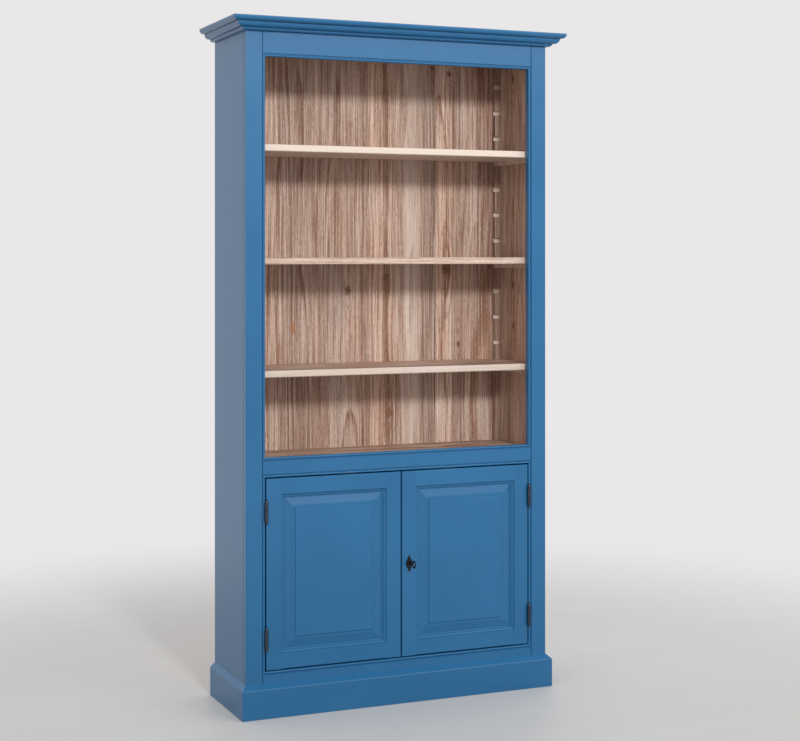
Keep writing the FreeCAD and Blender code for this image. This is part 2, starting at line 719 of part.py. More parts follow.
def plinth_section():
    """The plinth's section: a board with a slope on top that runs smoothly into a nose."""
    span = "(nose_in * nose_in + plinth_rise * plinth_rise)"
    slope = "sqrt(%s - plinth_nose * plinth_nose)" % span
    ahead = "%s * (%s * nose_in + plinth_nose * plinth_rise) / %s" % (slope, slope, span)
    below = "%s * (%s * plinth_rise - plinth_nose * nose_in) / %s" % (slope, slope, span)
    return [
        ("0", "0"),
        ("plinth_out", "0"),
        ("plinth_out", "plinth_high - plinth_rise"),
        (ahead, "plinth_high - " + below, "plinth_nose"),
        ("0", "plinth_high"),
    ]


def make_moulding(name, section, out, low, high):
    """A moulding around the front and the two sides, mitred at the corners."""
    heights = (low + " - overcut", high + " + overcut")
    far = "half_body + %s + overcut" % out
    ahead = "front - %s - overcut" % out
    piece = Piece(name + "_front")
    drawn = [("front - (%s)" % point[0],) + tuple(point[1:]) for point in section]
    reach = "half_body + " + out
    piece.prism("YZ", (minus(reach), reach), drawn, "Pad", -1)
    for sign in ("", "-"):
        beyond = [
            ("%s(half_body)" % sign, "front"),
            ("%s(%s)" % (sign, far), ahead),
            ("%s(%s)" % (sign, far), "front + overcut"),
            ("%s(half_body)" % sign, "front + overcut"),
        ]
        piece.prism("XY", heights, beyond, "Pocket")
    node(name + "_front", [piece])
    for hand, label in both(name + "_%s"):
        piece = Piece(label, hand)
        drawn = [("half_body + (%s)" % point[0],) + tuple(point[1:]) for point in section]
        piece.prism("XZ", ("front - " + out, "rear"), drawn, "Pad")
        before = [
            ("half_body", "front"),
            (far, ahead),
            ("half_body - overcut", ahead),
            ("half_body - overcut", "front"),
        ]
        piece.prism("XY", heights, before, "Pocket")
        node(label, [piece])


def make_glue_blocks():
    """Blocks behind the plinth, and in the corner behind the top rail."""
    blocks = []
    for spot in ("-stop_at * 2", "0", "stop_at * 2"):
        ends = (spot + " - block_long / 2", spot + " + block_long / 2")
        low = Piece("plinth_block")
        low.box(ends, ("front", "front + block_side"), ("back_foot", "bottom_rail_foot"))
        high = Piece("cornice_block")
        reach = ("top_under + top_thick", "top_under + top_thick + block_side")
        high.box(ends, ("frame_rear", "frame_rear + block_side"), reach)
        blocks += [low, high]
    node("glue_blocks", blocks)


# ---------------------------------------------------------------------------------------
# Racks, cleats and shelves
# ---------------------------------------------------------------------------------------

def make_racks():
    """Square uprights in the four inner corners, notched on the sides that face each other."""
    rows = (
        ("front", ("frame_rear", "rack_front_rear"), ("rack_front_rear - notch_deep", "rack_front_rear + overcut")),
        ("rear", ("rack_rear_front", "back_face"), ("rack_rear_front - overcut", "rack_rear_front + notch_deep")),
    )
    for row, depth, cut in rows:
        for hand, label in both("rack_" + row + "_%s"):
            rack = Piece(label, hand)
            rack.box(("rack_inner", "inner"), depth, ("deck_top", "top_under"))
            heights = ("rack_first", "rack_first + cleat_high + notch_play")
            notch = rack.box(("rack_inner - overcut", "inner + overcut"), cut, heights, "Subtractive")
            notches = rack.body.newObject("PartDesign::LinearPattern", "Notches")
            notches.Originals = [notch]
            up = [item for item in rack.body.Origin.OriginFeatures if item.Role == "Z_Axis"]
            notches.Direction = (up[0], [""])
            notches.setExpression("Length", ex("(rack_notches - 1) * rack_pitch"))
            notches.setExpression("Occurrences", ex("rack_notches"))
            rack.body.Tip = notches
            doc.recompute()
            node(label, [rack])


def make_cleats_and_shelves():
    """Three loose shelves, each on a pair of cleats whose ends lie in the racks' notches."""
    cleats = []
    for number, label in enumerate(SHELVES):
        low = "rack_first + rack_pitch * shelf_steps * %d" % number
        under = low + " + cleat_high"
        ends = ("rack_front_rear - notch_deep + notch_play", "rack_rear_front + notch_deep - notch_play")
        for hand in (-1, 1):
            cleat = Piece("cleat", hand)
            cleat.box(("rack_inner", "inner"), ends, (low, under))
            cleats.append(cleat)
        shelf = Piece(label)
        half = "inner - shelf_play"
        levels = (under, under + " + shelf_thick")
        shelf.box((minus(half), half), ("shelf_front", "shelf_rear"), levels)
        corners = (
            ("shelf_front - overcut", "rack_front_rear + shelf_play"),
            ("rack_rear_front - shelf_play", "shelf_rear + overcut"),
        )
        around = (levels[0] + " - overcut", levels[1] + " + overcut")
        for hand in (-1, 1):
            shelf.hand = hand
            for depth in corners:
                shelf.box(("rack_inner - shelf_play", "inner"), depth, around, "Subtractive")
        shelf.hand = 1
        for level in levels:
            shelf.ease("shelf_round", edge_at(1, y="shelf_front", z=level))
        node(label, [shelf])
    node("shelf_cleats", cleats)


# ---------------------------------------------------------------------------------------
# Doors
# ---------------------------------------------------------------------------------------

def mould_cut(edge, inward, depth_first):
    """The section cut inside a door's frame: two rounds with a flat between them."""
    def across(text):
        return "%s %s (%s)" % (edge, inward, text)
    over = "front - overcut"
    flat = "front + mould_first"
    bottom = "front + mould_first + mould_second"
    second = "mould_first + mould_fillet"
    section = [
        (across("0"), over),
        (across("0"), "front"),
        (across("mould_first"), flat, "mould_first"),
        (across(second), flat),
        (across(second + " + mould_second"), bottom, "mould_second"),
        (across("door_mould + overcut"), bottom),
        (across("door_mould + overcut"), over),
    ]
    if depth_first:
        return [(point[1], point[0]) + tuple(point[2:]) for point in section]
    return section


def cut_panel_groove(member):
    """The groove that holds the panel's edge, cut from any member of a door."""
    member.box(("inner_mould - panel_groove", "outer_mould + panel_groove"),
               ("groove_front", "groove_front + panel_edge"),
               ("low_mould - panel_groove", "high_mould + panel_groove"), "Subtractive")


def door_tenons():
    """The heights of a door's tenons, low and high."""
    return (
        ("door_foot + tenon_thick", "low_flat - tenon_thick / 2"),
        ("high_flat + tenon_thick / 2", "door_top - tenon_thick"),
    )


def cut_keyhole(piece, depth, radius, slot):
    """A round hole for the key's shank, and a slot below it for the bit."""
    piece.rod("Y", ("key_x", "key_z"), depth, radius, "Subtractive")
    sides = ("key_x - (%s) / 2" % slot, "key_x + (%s) / 2" % slot)
    piece.box(sides, depth, ("key_z - keyhole_drop", "key_z"), "Subtractive")


def make_door_stiles(hand, side):
    """The two stiles of a door, moulded inside and mortised for the rails."""
    members = (
        ("outer", "door_outer", "outer_flat", "outer_mould", "-", 1),
        ("meeting", "door_inner", "inner_flat", "inner_mould", "+", -1),
    )
    through = ("door_foot - overcut", "door_top + overcut")
    for place, edge, flat, mould, inward, turn in members:
        label = "%s_%s_stile" % (side, place)
        stile = Piece(label, hand)
        stile.prism("XZ", ("front", "door_rear"), [
            (edge, "door_foot"),
            (edge, "door_top"),
            (flat, "door_top"),
            (flat, "high_flat"),
            (mould, "high_mould"),
            (mould, "low_mould"),
            (flat, "low_flat"),
            (flat, "door_foot"),
        ])
        stile.ease("door_round", edge_at(hand, x=edge, y="front"))
        stile.prism("XY", through, mould_cut(flat, inward, False), "Pocket", turn)
        cut_panel_groove(stile)
        toward = "+" if inward == "-" else "-"
        ends = ["%s %s (door_tenon + tenon_play)" % (flat, toward), "%s %s overcut" % (flat, inward)]
        if inward == "-":
            ends.reverse()
        depth = ("tenon_front - tenon_play", "tenon_front + tenon_thick + tenon_play")
        for low, high in door_tenons():
            stile.box(ends, depth, (low + " - tenon_play", high + " + tenon_play"), "Subtractive")
        if place == "outer":
            wood = ("hinge_x - door_gap / 2 - leaf_sink - leaf_play", "door_outer + overcut")
            for level in ("hinge_low", "hinge_high"):
                low = level + " + half_ring - leaf_play"
                high = level + " + half_ring + knuckle_long + leaf_play"
                stile.box(wood, ("front - overcut", "leaf_rear + leaf_play"), (low, high), "Subtractive")
                reach = ("door_outer - leaf_sink - screw_long", "door_outer + overcut")
                for rise in leaf_screws(level, 1):
                    centre = ("front + leaf_deep / 2", rise)
                    stile.rod("X", centre, reach, "screw_radius + screw_play", "Subtractive")
        elif side == "right":
            cut_keyhole(stile, ("front - overcut", "door_rear + overcut"), "keyhole_radius", "keyhole_slot")
        node(label, [stile])


def make_door_rails(hand, side):
    """The two rails of a door, tenoned into its stiles."""
    members = (
        ("bottom", "door_foot", "low_flat", "low_mould", "+", 1),
        ("top", "door_top", "high_flat", "high_mould", "-", -1),
    )
    for (place, edge, flat, mould, inward, turn), (low, high) in zip(members, door_tenons()):
        label = "%s_%s_rail" % (side, place)
        rail = Piece(label, hand)
        rail.prism("XZ", ("front", "door_rear"), [
            ("inner_flat", edge),
            ("outer_flat", edge),
            ("outer_flat", flat),
            ("outer_mould", mould),
            ("inner_mould", mould),
            ("inner_flat", flat),
        ])
        reach = ("inner_flat - overcut", "outer_flat + overcut")
        rail.prism("YZ", reach, mould_cut(flat, inward, True), "Pocket", turn)
        cut_panel_groove(rail)
        rail.ease("door_round", edge_at(1, z=edge, y="front"))
        depth = ("tenon_front", "tenon_front + tenon_thick")
        rail.box(("inner_flat - door_tenon", "inner_flat"), depth, (low, high))
        rail.box(("outer_flat", "outer_flat + door_tenon"), depth, (low, high))
        node(label, [rail])


def make_door_panel(hand, side):
    """A raised panel: an edge in the groove, a bevel, a flat strip and a raised field."""
    panel = Piece(side + "_panel", hand)
    front_face = "groove_front + panel_play"
    rear_face = "groove_front + panel_edge - panel_play"
    bevel_face = front_face + " - bevel_rise"

    def within(inset):
        across = ("inner_mould + (%s)" % inset, "outer_mould - (%s)" % inset)
        return across, ("low_mould + (%s)" % inset, "high_mould - (%s)" % inset)

    across, upright = within("panel_room - panel_groove")
    panel.box(across, (front_face, rear_face), upright)
    bevel = panel.body.newObject("PartDesign::AdditiveWedge", "Bevel")
    for suffix, inset in (("", "panel_play + panel_bevel"), ("2", "panel_play")):
        across, upright = within(inset)
        for axis, (low, high) in (("X", panel._across(*across)), ("Z", upright)):
            bevel.setExpression(axis + suffix + "min", ex(low))
            bevel.setExpression(axis + suffix + "max", ex(high))
    bevel.setExpression("Ymin", ex(bevel_face))
    bevel.setExpression("Ymax", ex(front_face))
    doc.recompute()
    strip = "panel_play + panel_bevel"
    across, upright = within(strip)
    panel.box(across, (bevel_face + " - strip_rise", front_face), upright)
    across, upright = within(strip + " + strip_wide")
    panel.box(across, ("front + panel_field", front_face), upright)
    face = value("front + panel_field")
    panel.ease("field_round", lambda edge: all(near(point.Point.y, face) for point in edge.Vertexes))
    node(side + "_panel", [panel])


# ---------------------------------------------------------------------------------------
# Hinges
# ---------------------------------------------------------------------------------------

HINGES = ("hinge_low", "hinge_high")


def leaf_screws(level, way):
    """The heights of a leaf's two screws. Way is -1 for the lower leaf and 1 for the upper."""
    sign = "+" if way > 0 else "-"
    middle = "%s %s (half_ring + knuckle_long / 2)" % (level, sign)
    return (middle + " - screw_spread", middle + " + screw_spread")


def make_hinge_half(hand, level, way):
    """A knuckle with its pointed end and its leaf. The lower half is on the face frame."""
    half = Piece("hinge_half", hand)
    axis = ("hinge_x", "hinge_y")
    sign = "+" if way > 0 else "-"
    near_end = "%s %s (half_ring%s)" % (level, sign, " + ring_play" if way > 0 else "")
    far_end = "%s %s (half_ring + knuckle_long)" % (level, sign)
    ends = (near_end, far_end) if way > 0 else (far_end, near_end)
    half.rod("Z", axis, ends, "barrel_radius")
    half.olive(axis, far_end, "finial_long", "finial_radius")
    if way > 0:
        sheet_x = ("hinge_x - door_gap / 2 - leaf_sink", "hinge_x - door_gap / 2 - leaf_sink + leaf_thick")
    else:
        sheet_x = ("leaf_face", "leaf_wood")
    half.box(sheet_x, ("hinge_y", "leaf_rear"), ends)
    centre_y = "front + leaf_deep / 2"
    heads = (sheet_x[0], sheet_x[1])
    radii = ("screw_radius + screw_play", "screw_head + screw_play")
    if way < 0:
        radii = (radii[1], radii[0])
    for rise in leaf_screws(level, way):
        half.cone("X", (centre_y, rise), heads, radii, "Subtractive")
    bore = "pin_radius + pin_play" if way > 0 else "pin_radius"
    depth = "%s %s (half_ring + pin_grip + %s)" % (level, sign, "pin_play" if way > 0 else "0")
    reach = ("%s - overcut" % level, depth) if way > 0 else (depth, "%s + overcut" % level)
    half.rod("Z", axis, reach, bore, "Subtractive")
    return half


def make_screw(hand, level, rise, way):
    """A countersunk screw through a leaf, into the wood beside it."""
    screw = Piece("hinge_screw", hand)
    centre = ("front + leaf_deep / 2", rise)
    if way > 0:
        wood = "hinge_x - door_gap / 2 - leaf_sink"
        screw.cone("X", centre, (wood, wood + " + leaf_thick"), ("screw_radius", "screw_head"))
        screw.rod("X", centre, (wood + " + leaf_thick - screw_long", wood), "screw_radius")
    else:
        wood = "leaf_wood"
        screw.cone("X", centre, (wood + " - leaf_thick", wood), ("screw_head", "screw_radius"))
        screw.rod("X", centre, (wood, wood + " - leaf_thick + screw_long"), "screw_radius")
    return screw


def make_hinges():
    """Two lift-off hinges on each door: knuckles, pins, rings and screws."""
    frame_halves = []
    frame_screws = []
    pins = []
    rings = []
    for hand, side in both("%s"):
        door_halves = []
        door_screws = []
        for level in HINGES:
            frame_halves.append(make_hinge_half(hand, level, -1))
            door_halves.append(make_hinge_half(hand, level, 1))
            frame_screws += [make_screw(hand, level, rise, -1) for rise in leaf_screws(level, -1)]
            door_screws += [make_screw(hand, level, rise, 1) for rise in leaf_screws(level, 1)]
            axis = ("hinge_x", "hinge_y")
            pin = Piece("hinge_pin", hand)
            pin.rod("Z", axis, (level + " - half_ring - pin_grip", level + " + half_ring + pin_grip"), "pin_radius")
            pins.append(pin)
            ring = Piece("hinge_ring", hand)
            flats = (level + " - half_ring", level + " + half_ring")
            ring.rod("Z", axis, flats, "ring_radius")
            for flat in flats:
                ring.ease("half_ring * 0.8", rim_at("z", flat))
            bored = (level + " - half_ring - overcut", level + " + half_ring + overcut")
            ring.rod("Z", axis, bored, "pin_radius", "Subtractive")
            rings.append(ring)
        node(side + "_hinge_halves", door_halves)
        node(side + "_hinge_screws", door_screws)
    node("hinge_frame_halves", frame_halves)
    node("hinge_frame_screws", frame_screws)
    node("hinge_pins", pins)
    node("hinge_rings", rings)


# ---------------------------------------------------------------------------------------
# Lock on the right door
# ---------------------------------------------------------------------------------------

def make_lock():
    """The lock's case behind the right door's meeting stile, with its bolt, key and plate."""
    case = Piece("lock_case")
    low = "lock_z - lock_high / 2"
    high = "lock_z + lock_high / 2"
    right = "lock_left + lock_wide"
    case.box(("lock_left", right), ("door_rear", "lock_rear"), (low, high))
    case.box(("lock_left + lock_wall", right + " - lock_wall"), ("door_rear + lock_wall", "lock_rear - lock_wall"),
             (low + " + lock_wall", high + " - lock_wall"), "Subtractive")
    half_bar = "(bolt_bar_high / 2 + bolt_bar_play)"
    half_thick = "(bolt_bar_thick / 2 + bolt_bar_play)"
    case.box(("lock_left - overcut", "lock_left + lock_wall + overcut"),
             ("bar_y - " + half_thick, "bar_y + " + half_thick),
             ("bar_z - " + half_bar, "bar_z + " + half_bar), "Subtractive")
    cut_keyhole(case, ("door_rear - overcut", "door_rear + lock_wall"), "key_radius + key_play", "keyhole_slot")
    node("lock_case", [case])

    bar = Piece("lock_bolt")
    bar.box(("lock_left", "lock_left + bolt_bar_long"),
            ("bar_y - bolt_bar_thick / 2", "bar_y + bolt_bar_thick / 2"),
            ("bar_z - bolt_bar_high / 2", "bar_z + bolt_bar_high / 2"))
    node("lock_bolt", [bar])

    plate = Piece("escutcheon")
    half_wide = "plate_wide / 2"
    half_high = "plate_high / 2"
    plate.prism("XZ", ("front - plate_thick", "front"), [
        ("key_x", "lock_z - " + half_high),
        ("key_x + " + half_wide, "lock_z"),
        ("key_x", "lock_z + " + half_high),
        ("key_x - " + half_wide, "lock_z"),
    ])
    face = value("front - plate_thick")
    plate.ease("plate_thick * 0.5", lambda edge: all(near(point.Point.y, face) for point in edge.Vertexes))
    cut_keyhole(plate, ("front - plate_thick - overcut", "front + overcut"), "keyhole_radius", "keyhole_slot")
    node("escutcheon", [plate])

    key = Piece("key")
    centre = ("key_x", "key_z")
    shank_end = "lock_rear - lock_wall * 2"
    key.rod("Y", centre, ("bow_y + bow_radius", shank_end), "key_radius")
    key.rod("Y", centre, ("bow_y + bow_radius", "bow_y + bow_radius + collar_long"), "collar_radius")
    key.box(("key_x - bit_thick / 2", "key_x + bit_thick / 2"), (shank_end + " - bit_wide", shank_end),
            ("key_z - bit_drop", "key_z"))
    bow = key.body.newObject("PartDesign::AdditiveTorus", "Bow")
    bow.setExpression("Radius1", ex("bow_radius"))
    bow.setExpression("Radius2", ex("bow_wire"))
    key._place(bow, "X", ("bow_y", "key_z"), "key_x")
    doc.recompute()
    node("key", [key])


# ---------------------------------------------------------------------------------------
# Slide bolts, strike and keeper on the left door
# ---------------------------------------------------------------------------------------

def slide_bolt_span(way):
    """The ends of a slide bolt at rest, tip last. Way is 1 for the upper bolt."""
    if way > 0:
        tip = "door_top - bolt_short"
        return (tip + " - bolt_long", tip)
    tip = "door_foot + bolt_short"
    return (tip + " + bolt_long", tip)


def make_slide_bolts():
    """Round bolts in two guides on a base plate, behind the left door's meeting stile."""
    plates = []
    axis = ("slide_x", "slide_y")
    for way, label in ((1, "top_bolt"), (-1, "bottom_bolt")):
        tail, tip = slide_bolt_span(way)
        sign = "+" if way > 0 else "-"
        back = "-" if way > 0 else "+"
        ordered = (tail, tip) if way > 0 else (tip, tail)
        bolt = Piece(label)
        bolt.rod("Z", axis, ordered, "bolt_radius")
        knob_z = "%s %s (bolt_long / 2 - bolt_throw / 2)" % (tail, sign)
        reach = ("slide_y", "slide_y + knob_long")
        bolt.rod("Y", ("slide_x", knob_z), reach, "knob_radius")
        bolt.ease("knob_radius * 0.5", rim_at("y", "slide_y + knob_long"))
        node(label, [bolt])

        near_end = "%s %s bolt_short" % (tip, back)
        far_end = "%s %s (bolt_long - bolt_short)" % (tip, back)
        plate = Piece("bolt_plate")
        ends = (far_end, near_end) if way > 0 else (near_end, far_end)
        sides = ("slide_x - base_wide / 2", "slide_x + base_wide / 2")
        plate.box(sides, ("door_rear", "door_rear + base_thick"), ends)
        sides = ("slide_x - guide_side / 2", "slide_x + guide_side / 2")
        depth = ("door_rear", "slide_y + guide_side / 2")
        for start in (ends[0], ends[1] + " - guide_long"):
            plate.box(sides, depth, (start, start + " + guide_long"))
        through = (ends[0] + " - overcut", ends[1] + " + overcut")
        plate.rod("Z", axis, through, "bolt_radius + bolt_play", "Subtractive")
        plates.append(plate)
    node("bolt_plates", plates)

    keeper = Piece("bolt_keeper")
    sides = ("slide_x - guide_side / 2", "slide_x + guide_side / 2")
    heights = ("keeper_foot", "keeper_foot + keeper_high")
    keeper.box(sides, ("frame_rear", "slide_y + guide_side / 2"), heights)
    keeper.rod("Z", axis, ("keeper_foot - overcut", "keeper_foot + keeper_high + overcut"),
               "bolt_hole", "Subtractive")
    node("bolt_keeper", [keeper])


def make_strike():
    """The staple on the left door that takes the lock's bolt."""
    strike = Piece("lock_strike")
    near_end = "-(lock_left)"
    far_end = "-(lock_left + strike_wide)"
    half_high = "(bolt_bar_high / 2 + strike_play)"
    outer = half_high + " + strike_wall"
    strike.box((far_end, near_end), ("door_rear", "bar_y + bolt_bar_thick / 2 + strike_play + strike_wall"),
               ("bar_z - (%s)" % outer, "bar_z + " + outer))
    strike.box((far_end + " - overcut", near_end + " + overcut"),
               ("door_rear + lock_wall", "bar_y + bolt_bar_thick / 2 + strike_play"),
               ("bar_z - " + half_high, "bar_z + " + half_high), "Subtractive")
    node("lock_strike", [strike])


def make_door_stops():
    """Blocks under the deck that the closed doors meet."""
    stops = []
    for hand in (-1, 1):
        stop = Piece("door_stop", hand)
        first = "door_rear + stop_play"
        stop.box(("stop_at", "stop_at + stop_long"), (first, first + " + stop_thick"),
                 ("door_top - stop_lap", "deck_under"))
        stops.append(stop)
    node("door_stops", stops)


# ---------------------------------------------------------------------------------------
# Build, check and write
# ---------------------------------------------------------------------------------------

def check_document():
    """Stop if any object failed, or a sub-part's shape isn't whole."""
    doc.recompute()
    for item in doc.Objects:
        if "Invalid" in item.State or "Error" in item.State:
            raise RuntimeError("%s did not build" % item.Label)
    for item in nodes:
        if item.Shape.isNull() or not item.Shape.isValid():
            raise RuntimeError("%s has no valid shape" % item.Label)


def write_nodes():
    """Write each sub-part to a STEP file of its own."""
    os.makedirs("parts", exist_ok=True)
    for item in nodes:
        item.Shape.exportStep("parts/%s.step" % item.Label)
        print("%-22s %2d solid(s) %12.1f mm3" % (item.Label, len(item.Shape.Solids), item.Shape.Volume))


def main():
    fill_sheet()
    make_sides()
    make_level_boards()
    make_back_boards()
    make_face_stiles()
    make_face_rails()
    make_moulding("cornice", cornice_section(), "cornice_out", "cornice_foot", "overall_height")
    make_moulding("plinth", plinth_section(), "plinth_out", "0", "plinth_high")
    make_glue_blocks()
    make_racks()
    make_cleats_and_shelves()
    for hand, side in both("%s"):
        make_door_stiles(hand, side)
        make_door_rails(hand, side)
        make_door_panel(hand, side)
    make_hinges()
    make_lock()
    make_slide_bolts()
    make_strike()
    make_door_stops()
    check_document()
    write_nodes()


main()
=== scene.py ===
import math

import bpy
from mathutils import Euler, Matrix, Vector

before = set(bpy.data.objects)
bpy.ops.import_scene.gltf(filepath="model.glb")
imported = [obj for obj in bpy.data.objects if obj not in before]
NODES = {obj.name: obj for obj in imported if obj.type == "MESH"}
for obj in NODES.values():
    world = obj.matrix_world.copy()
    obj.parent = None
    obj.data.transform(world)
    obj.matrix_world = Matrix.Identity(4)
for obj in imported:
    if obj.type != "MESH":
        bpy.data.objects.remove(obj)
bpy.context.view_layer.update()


# ---------------------------------------------------------------------------------------
# Helpers
# ---------------------------------------------------------------------------------------

def srgb(red, green, blue):
    """A colour in screen values, 0 to 255, as the linear colour that shaders take."""
    def linear(level):
        level /= 255
        return level / 12.92 if level <= 0.04045 else ((level + 0.055) / 1.055) ** 2.4
    return (linear(red), linear(green), linear(blue), 1)


class Graph:
    """A node tree in which a node's inputs are given as numbers or as other nodes' outputs."""

    def __init__(self, tree):
        self.tree = tree

    def feed(self, source, socket):
        """Links an output to the socket, or sets the socket to a number or colour."""
        if isinstance(source, bpy.types.NodeSocket):
            self.tree.links.new(source, socket)
        else:
            socket.default_value = source

    def add(self, kind, inputs=None, **settings):
        """A new node of that kind, with its inputs fed by name."""
        node = self.tree.nodes.new("ShaderNode" + kind)
        for name, setting in settings.items():
            setattr(node, name, setting)
        for name, source in (inputs or {}).items():
            self.feed(source, node.inputs[name])
        return node

    def group(self, tree, inputs):
        """The outputs of a node group that is used with those inputs."""
        return self.add("Group", inputs, node_tree=tree).outputs

    def math(self, operation, *sources):
        """The output of a math node."""
        node = self.add("Math", operation=operation)
        for source, socket in zip(sources, node.inputs):
            self.feed(source, socket)
        return node.outputs[0]

    def plus(self, first, second):
        return self.math("ADD", first, second)

    def minus(self, first, second):
        return self.math("SUBTRACT", first, second)

    def times(self, first, second):
        return self.math("MULTIPLY", first, second)

    def over(self, first, second):
        return self.math("DIVIDE", first, second)

    def mad(self, source, factor, offset):
        """The source times the factor, plus the offset."""
        return self.math("MULTIPLY_ADD", source, factor, offset)

    def around(self, chance, spread, middle):
        """The middle, moved by as much of the spread as the chance, from 0 to 1, is away from a half."""
        return self.mad(self.minus(chance, 0.5), spread, middle)

    def squares(self, first, second):
        """The sum of both squares."""
        return self.plus(self.times(first, first), self.times(second, second))

    def length(self, first, second):
        """The length of a step that goes so far one way and so far square to it."""
        return self.math("SQRT", self.squares(first, second))

    def step(self, source, low, high, start=0.0, end=1.0):
        """Goes smoothly from start to end as the source goes from low to high."""
        node = self.add("MapRange", interpolation_type="SMOOTHSTEP")
        for socket, number in zip(node.inputs, (source, low, high, start, end)):
            self.feed(number, socket)
        return node.outputs[0]

    def mix(self, factor, first, second, blend="MIX"):
        """A colour between two, from the first at 0 to the second at 1."""
        node = self.add("Mix", data_type="RGBA", blend_type=blend)
        for index, source in ((0, factor), (6, first), (7, second)):
            self.feed(source, node.inputs[index])
        return node.outputs[2]

    def blend(self, factor, first, second):
        """A number between two, from the first at 0 to the second at 1."""
        node = self.add("Mix", data_type="FLOAT")
        for index, source in ((0, factor), (2, first), (3, second)):
            self.feed(source, node.inputs[index])
        return node.outputs[0]

    def place(self, x, y, z):
        """The vector with those parts."""
        return self.add("CombineXYZ", {"X": x, "Y": y, "Z": z}).outputs[0]

    def split(self, vector):
        """The vector's parts, under the names X, Y and Z."""
        return self.add("SeparateXYZ", {"Vector": vector}).outputs

    def noise(self, place, scale=1.0, detail=2.0, roughness=0.5):
        """Cloudy noise from about 0 to 1."""
        inputs = {"Vector": place, "Scale": scale, "Detail": detail, "Roughness": roughness}
        return self.add("TexNoise", inputs).outputs["Fac"]

    def grain(self, places, fine, slow, detail=2.0, roughness=0.5):
        """Noise drawn out along the grain: fine across it and through it, slow along it, per metre."""
        across, depth, along = places
        place = self.place(self.times(across, fine), self.times(depth, fine), self.times(along, slow))
        return self.noise(place, 1.0, detail, roughness)


def new_group(name, inputs, outputs):
    """An empty node group: its tree, its graph, its inputs and its results.

    The output that is called Color is a colour. All the others, and the inputs, are numbers."""
    tree = bpy.data.node_groups.new(name, "ShaderNodeTree")
    for label in inputs:
        tree.interface.new_socket(name=label, in_out="INPUT", socket_type="NodeSocketFloat")
    for label in outputs:
        kind = "NodeSocketColor" if label == "Color" else "NodeSocketFloat"
        tree.interface.new_socket(name=label, in_out="OUTPUT", socket_type=kind)
    given = tree.nodes.new("NodeGroupInput").outputs
    result = tree.nodes.new("NodeGroupOutput").inputs
    return tree, Graph(tree), given, result


# ---------------------------------------------------------------------------------------
# Pine: growth rings around a pith in each lath, knots, resin pockets and a pale wash
# ---------------------------------------------------------------------------------------

EARLY_WARM = srgb(230, 188, 163)
EARLY_DULL = srgb(210, 180, 162)
EARLY_PALE = srgb(216, 194, 180)
LATE_DULL = srgb(130, 88, 66)
LATE_WARM = srgb(156, 104, 74)
VEIN = srgb(132, 96, 78)
STREAK_DARK = srgb(140, 104, 85)
STREAK_PALE = srgb(232, 214, 200)
FIBRE_DARK = srgb(124, 88, 70)
FIBRE_PALE = srgb(240, 216, 200)
DASH_DARK = srgb(118, 86, 70)
DASH_PALE = srgb(240, 226, 216)
FLECK = srgb(104, 78, 64)
JOINT = srgb(105, 82, 70)
RESIN = srgb(168, 112, 74)
BENT_GRAIN = srgb(134, 90, 68)
KNOT_HALO = srgb(140, 102, 80)
KNOT_PALE = srgb(158, 116, 90)
KNOT_DARK = srgb(116, 78, 58)
KNOT_HEART = srgb(72, 48, 38)
KNOT_RIM = srgb(84, 56, 44)
# The pale wash colour. It is also used as painted light, on the undersides of level boards and in the
# notches of the racks.
WASH_AND_PAINTED_LIGHT = srgb(238, 222, 208)
# Darkens the racks: partly their own wood tone, partly painted shade where the face frame shades them.
RACK_TONE_AND_PAINTED_SHADE = srgb(204, 198, 195)

# How many times longer than wide a blemish is, and how strongly it bends the grain.
KNOT_SHAPE = {"Long": 1.25, "Pull": 0.85}
RESIN_SHAPE = {"Long": 3.0, "Pull": 0.5}

# A distance in radii at which nothing of a blemish is seen.
FAR = 60.0

# The width of a growth ring, in washed wood and in the bare faces of painted boards.
WASHED_RING = 0.0042
BARE_RING = 0.003

# The width of the laths that a board is glued from, and how uneven they are. Racks and blocks are
# narrower than their lath, and a seed moves the laths of one board against those of the next.
LATH_UNEVENNESS = 0.6
LATH_SEED_STEP = 7.31
BACK_LATH = 0.058
BARE_LATH = 0.062
SHELF_LATH = 0.07
RACK_LATH = 0.2
BLOCK_LATH = 0.3

# Where the pith lies behind a lath: in how wide a band, how deep, how much deeper at most, how widely it
# wanders and how much deeper it gets per metre along the grain. Then how widely the rings ripple.
PITH_BAND = 0.16
PITH_DEPTH = 0.014
PITH_DEEPER = 0.05
PITH_WANDER = 0.018
PITH_SLANT = 0.004
RING_RIPPLE = 0.0015

# How light the wood is.
WASHED_TONE = 0.88
BARE_TONE = 1.0

# How strong the painted light is on the underside of a level board, a paler colour that stands in for light
# thrown up from the floor, and how strong the paler faces are in the notches of a rack, which are raw-cut
# wood with painted light where the notches catch the lamp.
UNDERSIDE_PAINTED_LIGHT = 0.8
NOTCH_RAW_AND_PAINTED_LIGHT = 0.7

WOOD_ROUGHNESS = 0.62
WOOD_SPECULAR = 0.3
WOOD_RELIEF = 0.0004


def make_blemish_group():
    """One more knot or resin pocket: how near the nearest is, round or drawn out, and the grain's shift."""
    tree, g, given, result = new_group(
        "blemish",
        ("Across", "Along", "Near", "Drawn", "Shift", "X", "Z", "Radius", "Long", "Pull"),
        ("Near", "Drawn", "Shift"),
    )
    aside = g.minus(given["Across"], given["X"])
    ahead = g.over(g.minus(given["Along"], given["Z"]), given["Long"])
    u = g.over(aside, given["Radius"])
    w = g.over(ahead, given["Radius"])
    g.feed(g.math("MINIMUM", given["Near"], g.length(u, w)), result["Near"])
    g.feed(g.math("MINIMUM", given["Drawn"], g.length(u, g.times(w, 0.2))), result["Drawn"])
    far = g.squares(g.times(u, 0.36), g.times(w, 0.11))
    pull = g.times(g.math("EXPONENT", g.times(far, -1.0)), given["Pull"])
    g.feed(g.minus(given["Shift"], g.times(aside, pull)), result["Shift"])
    return tree


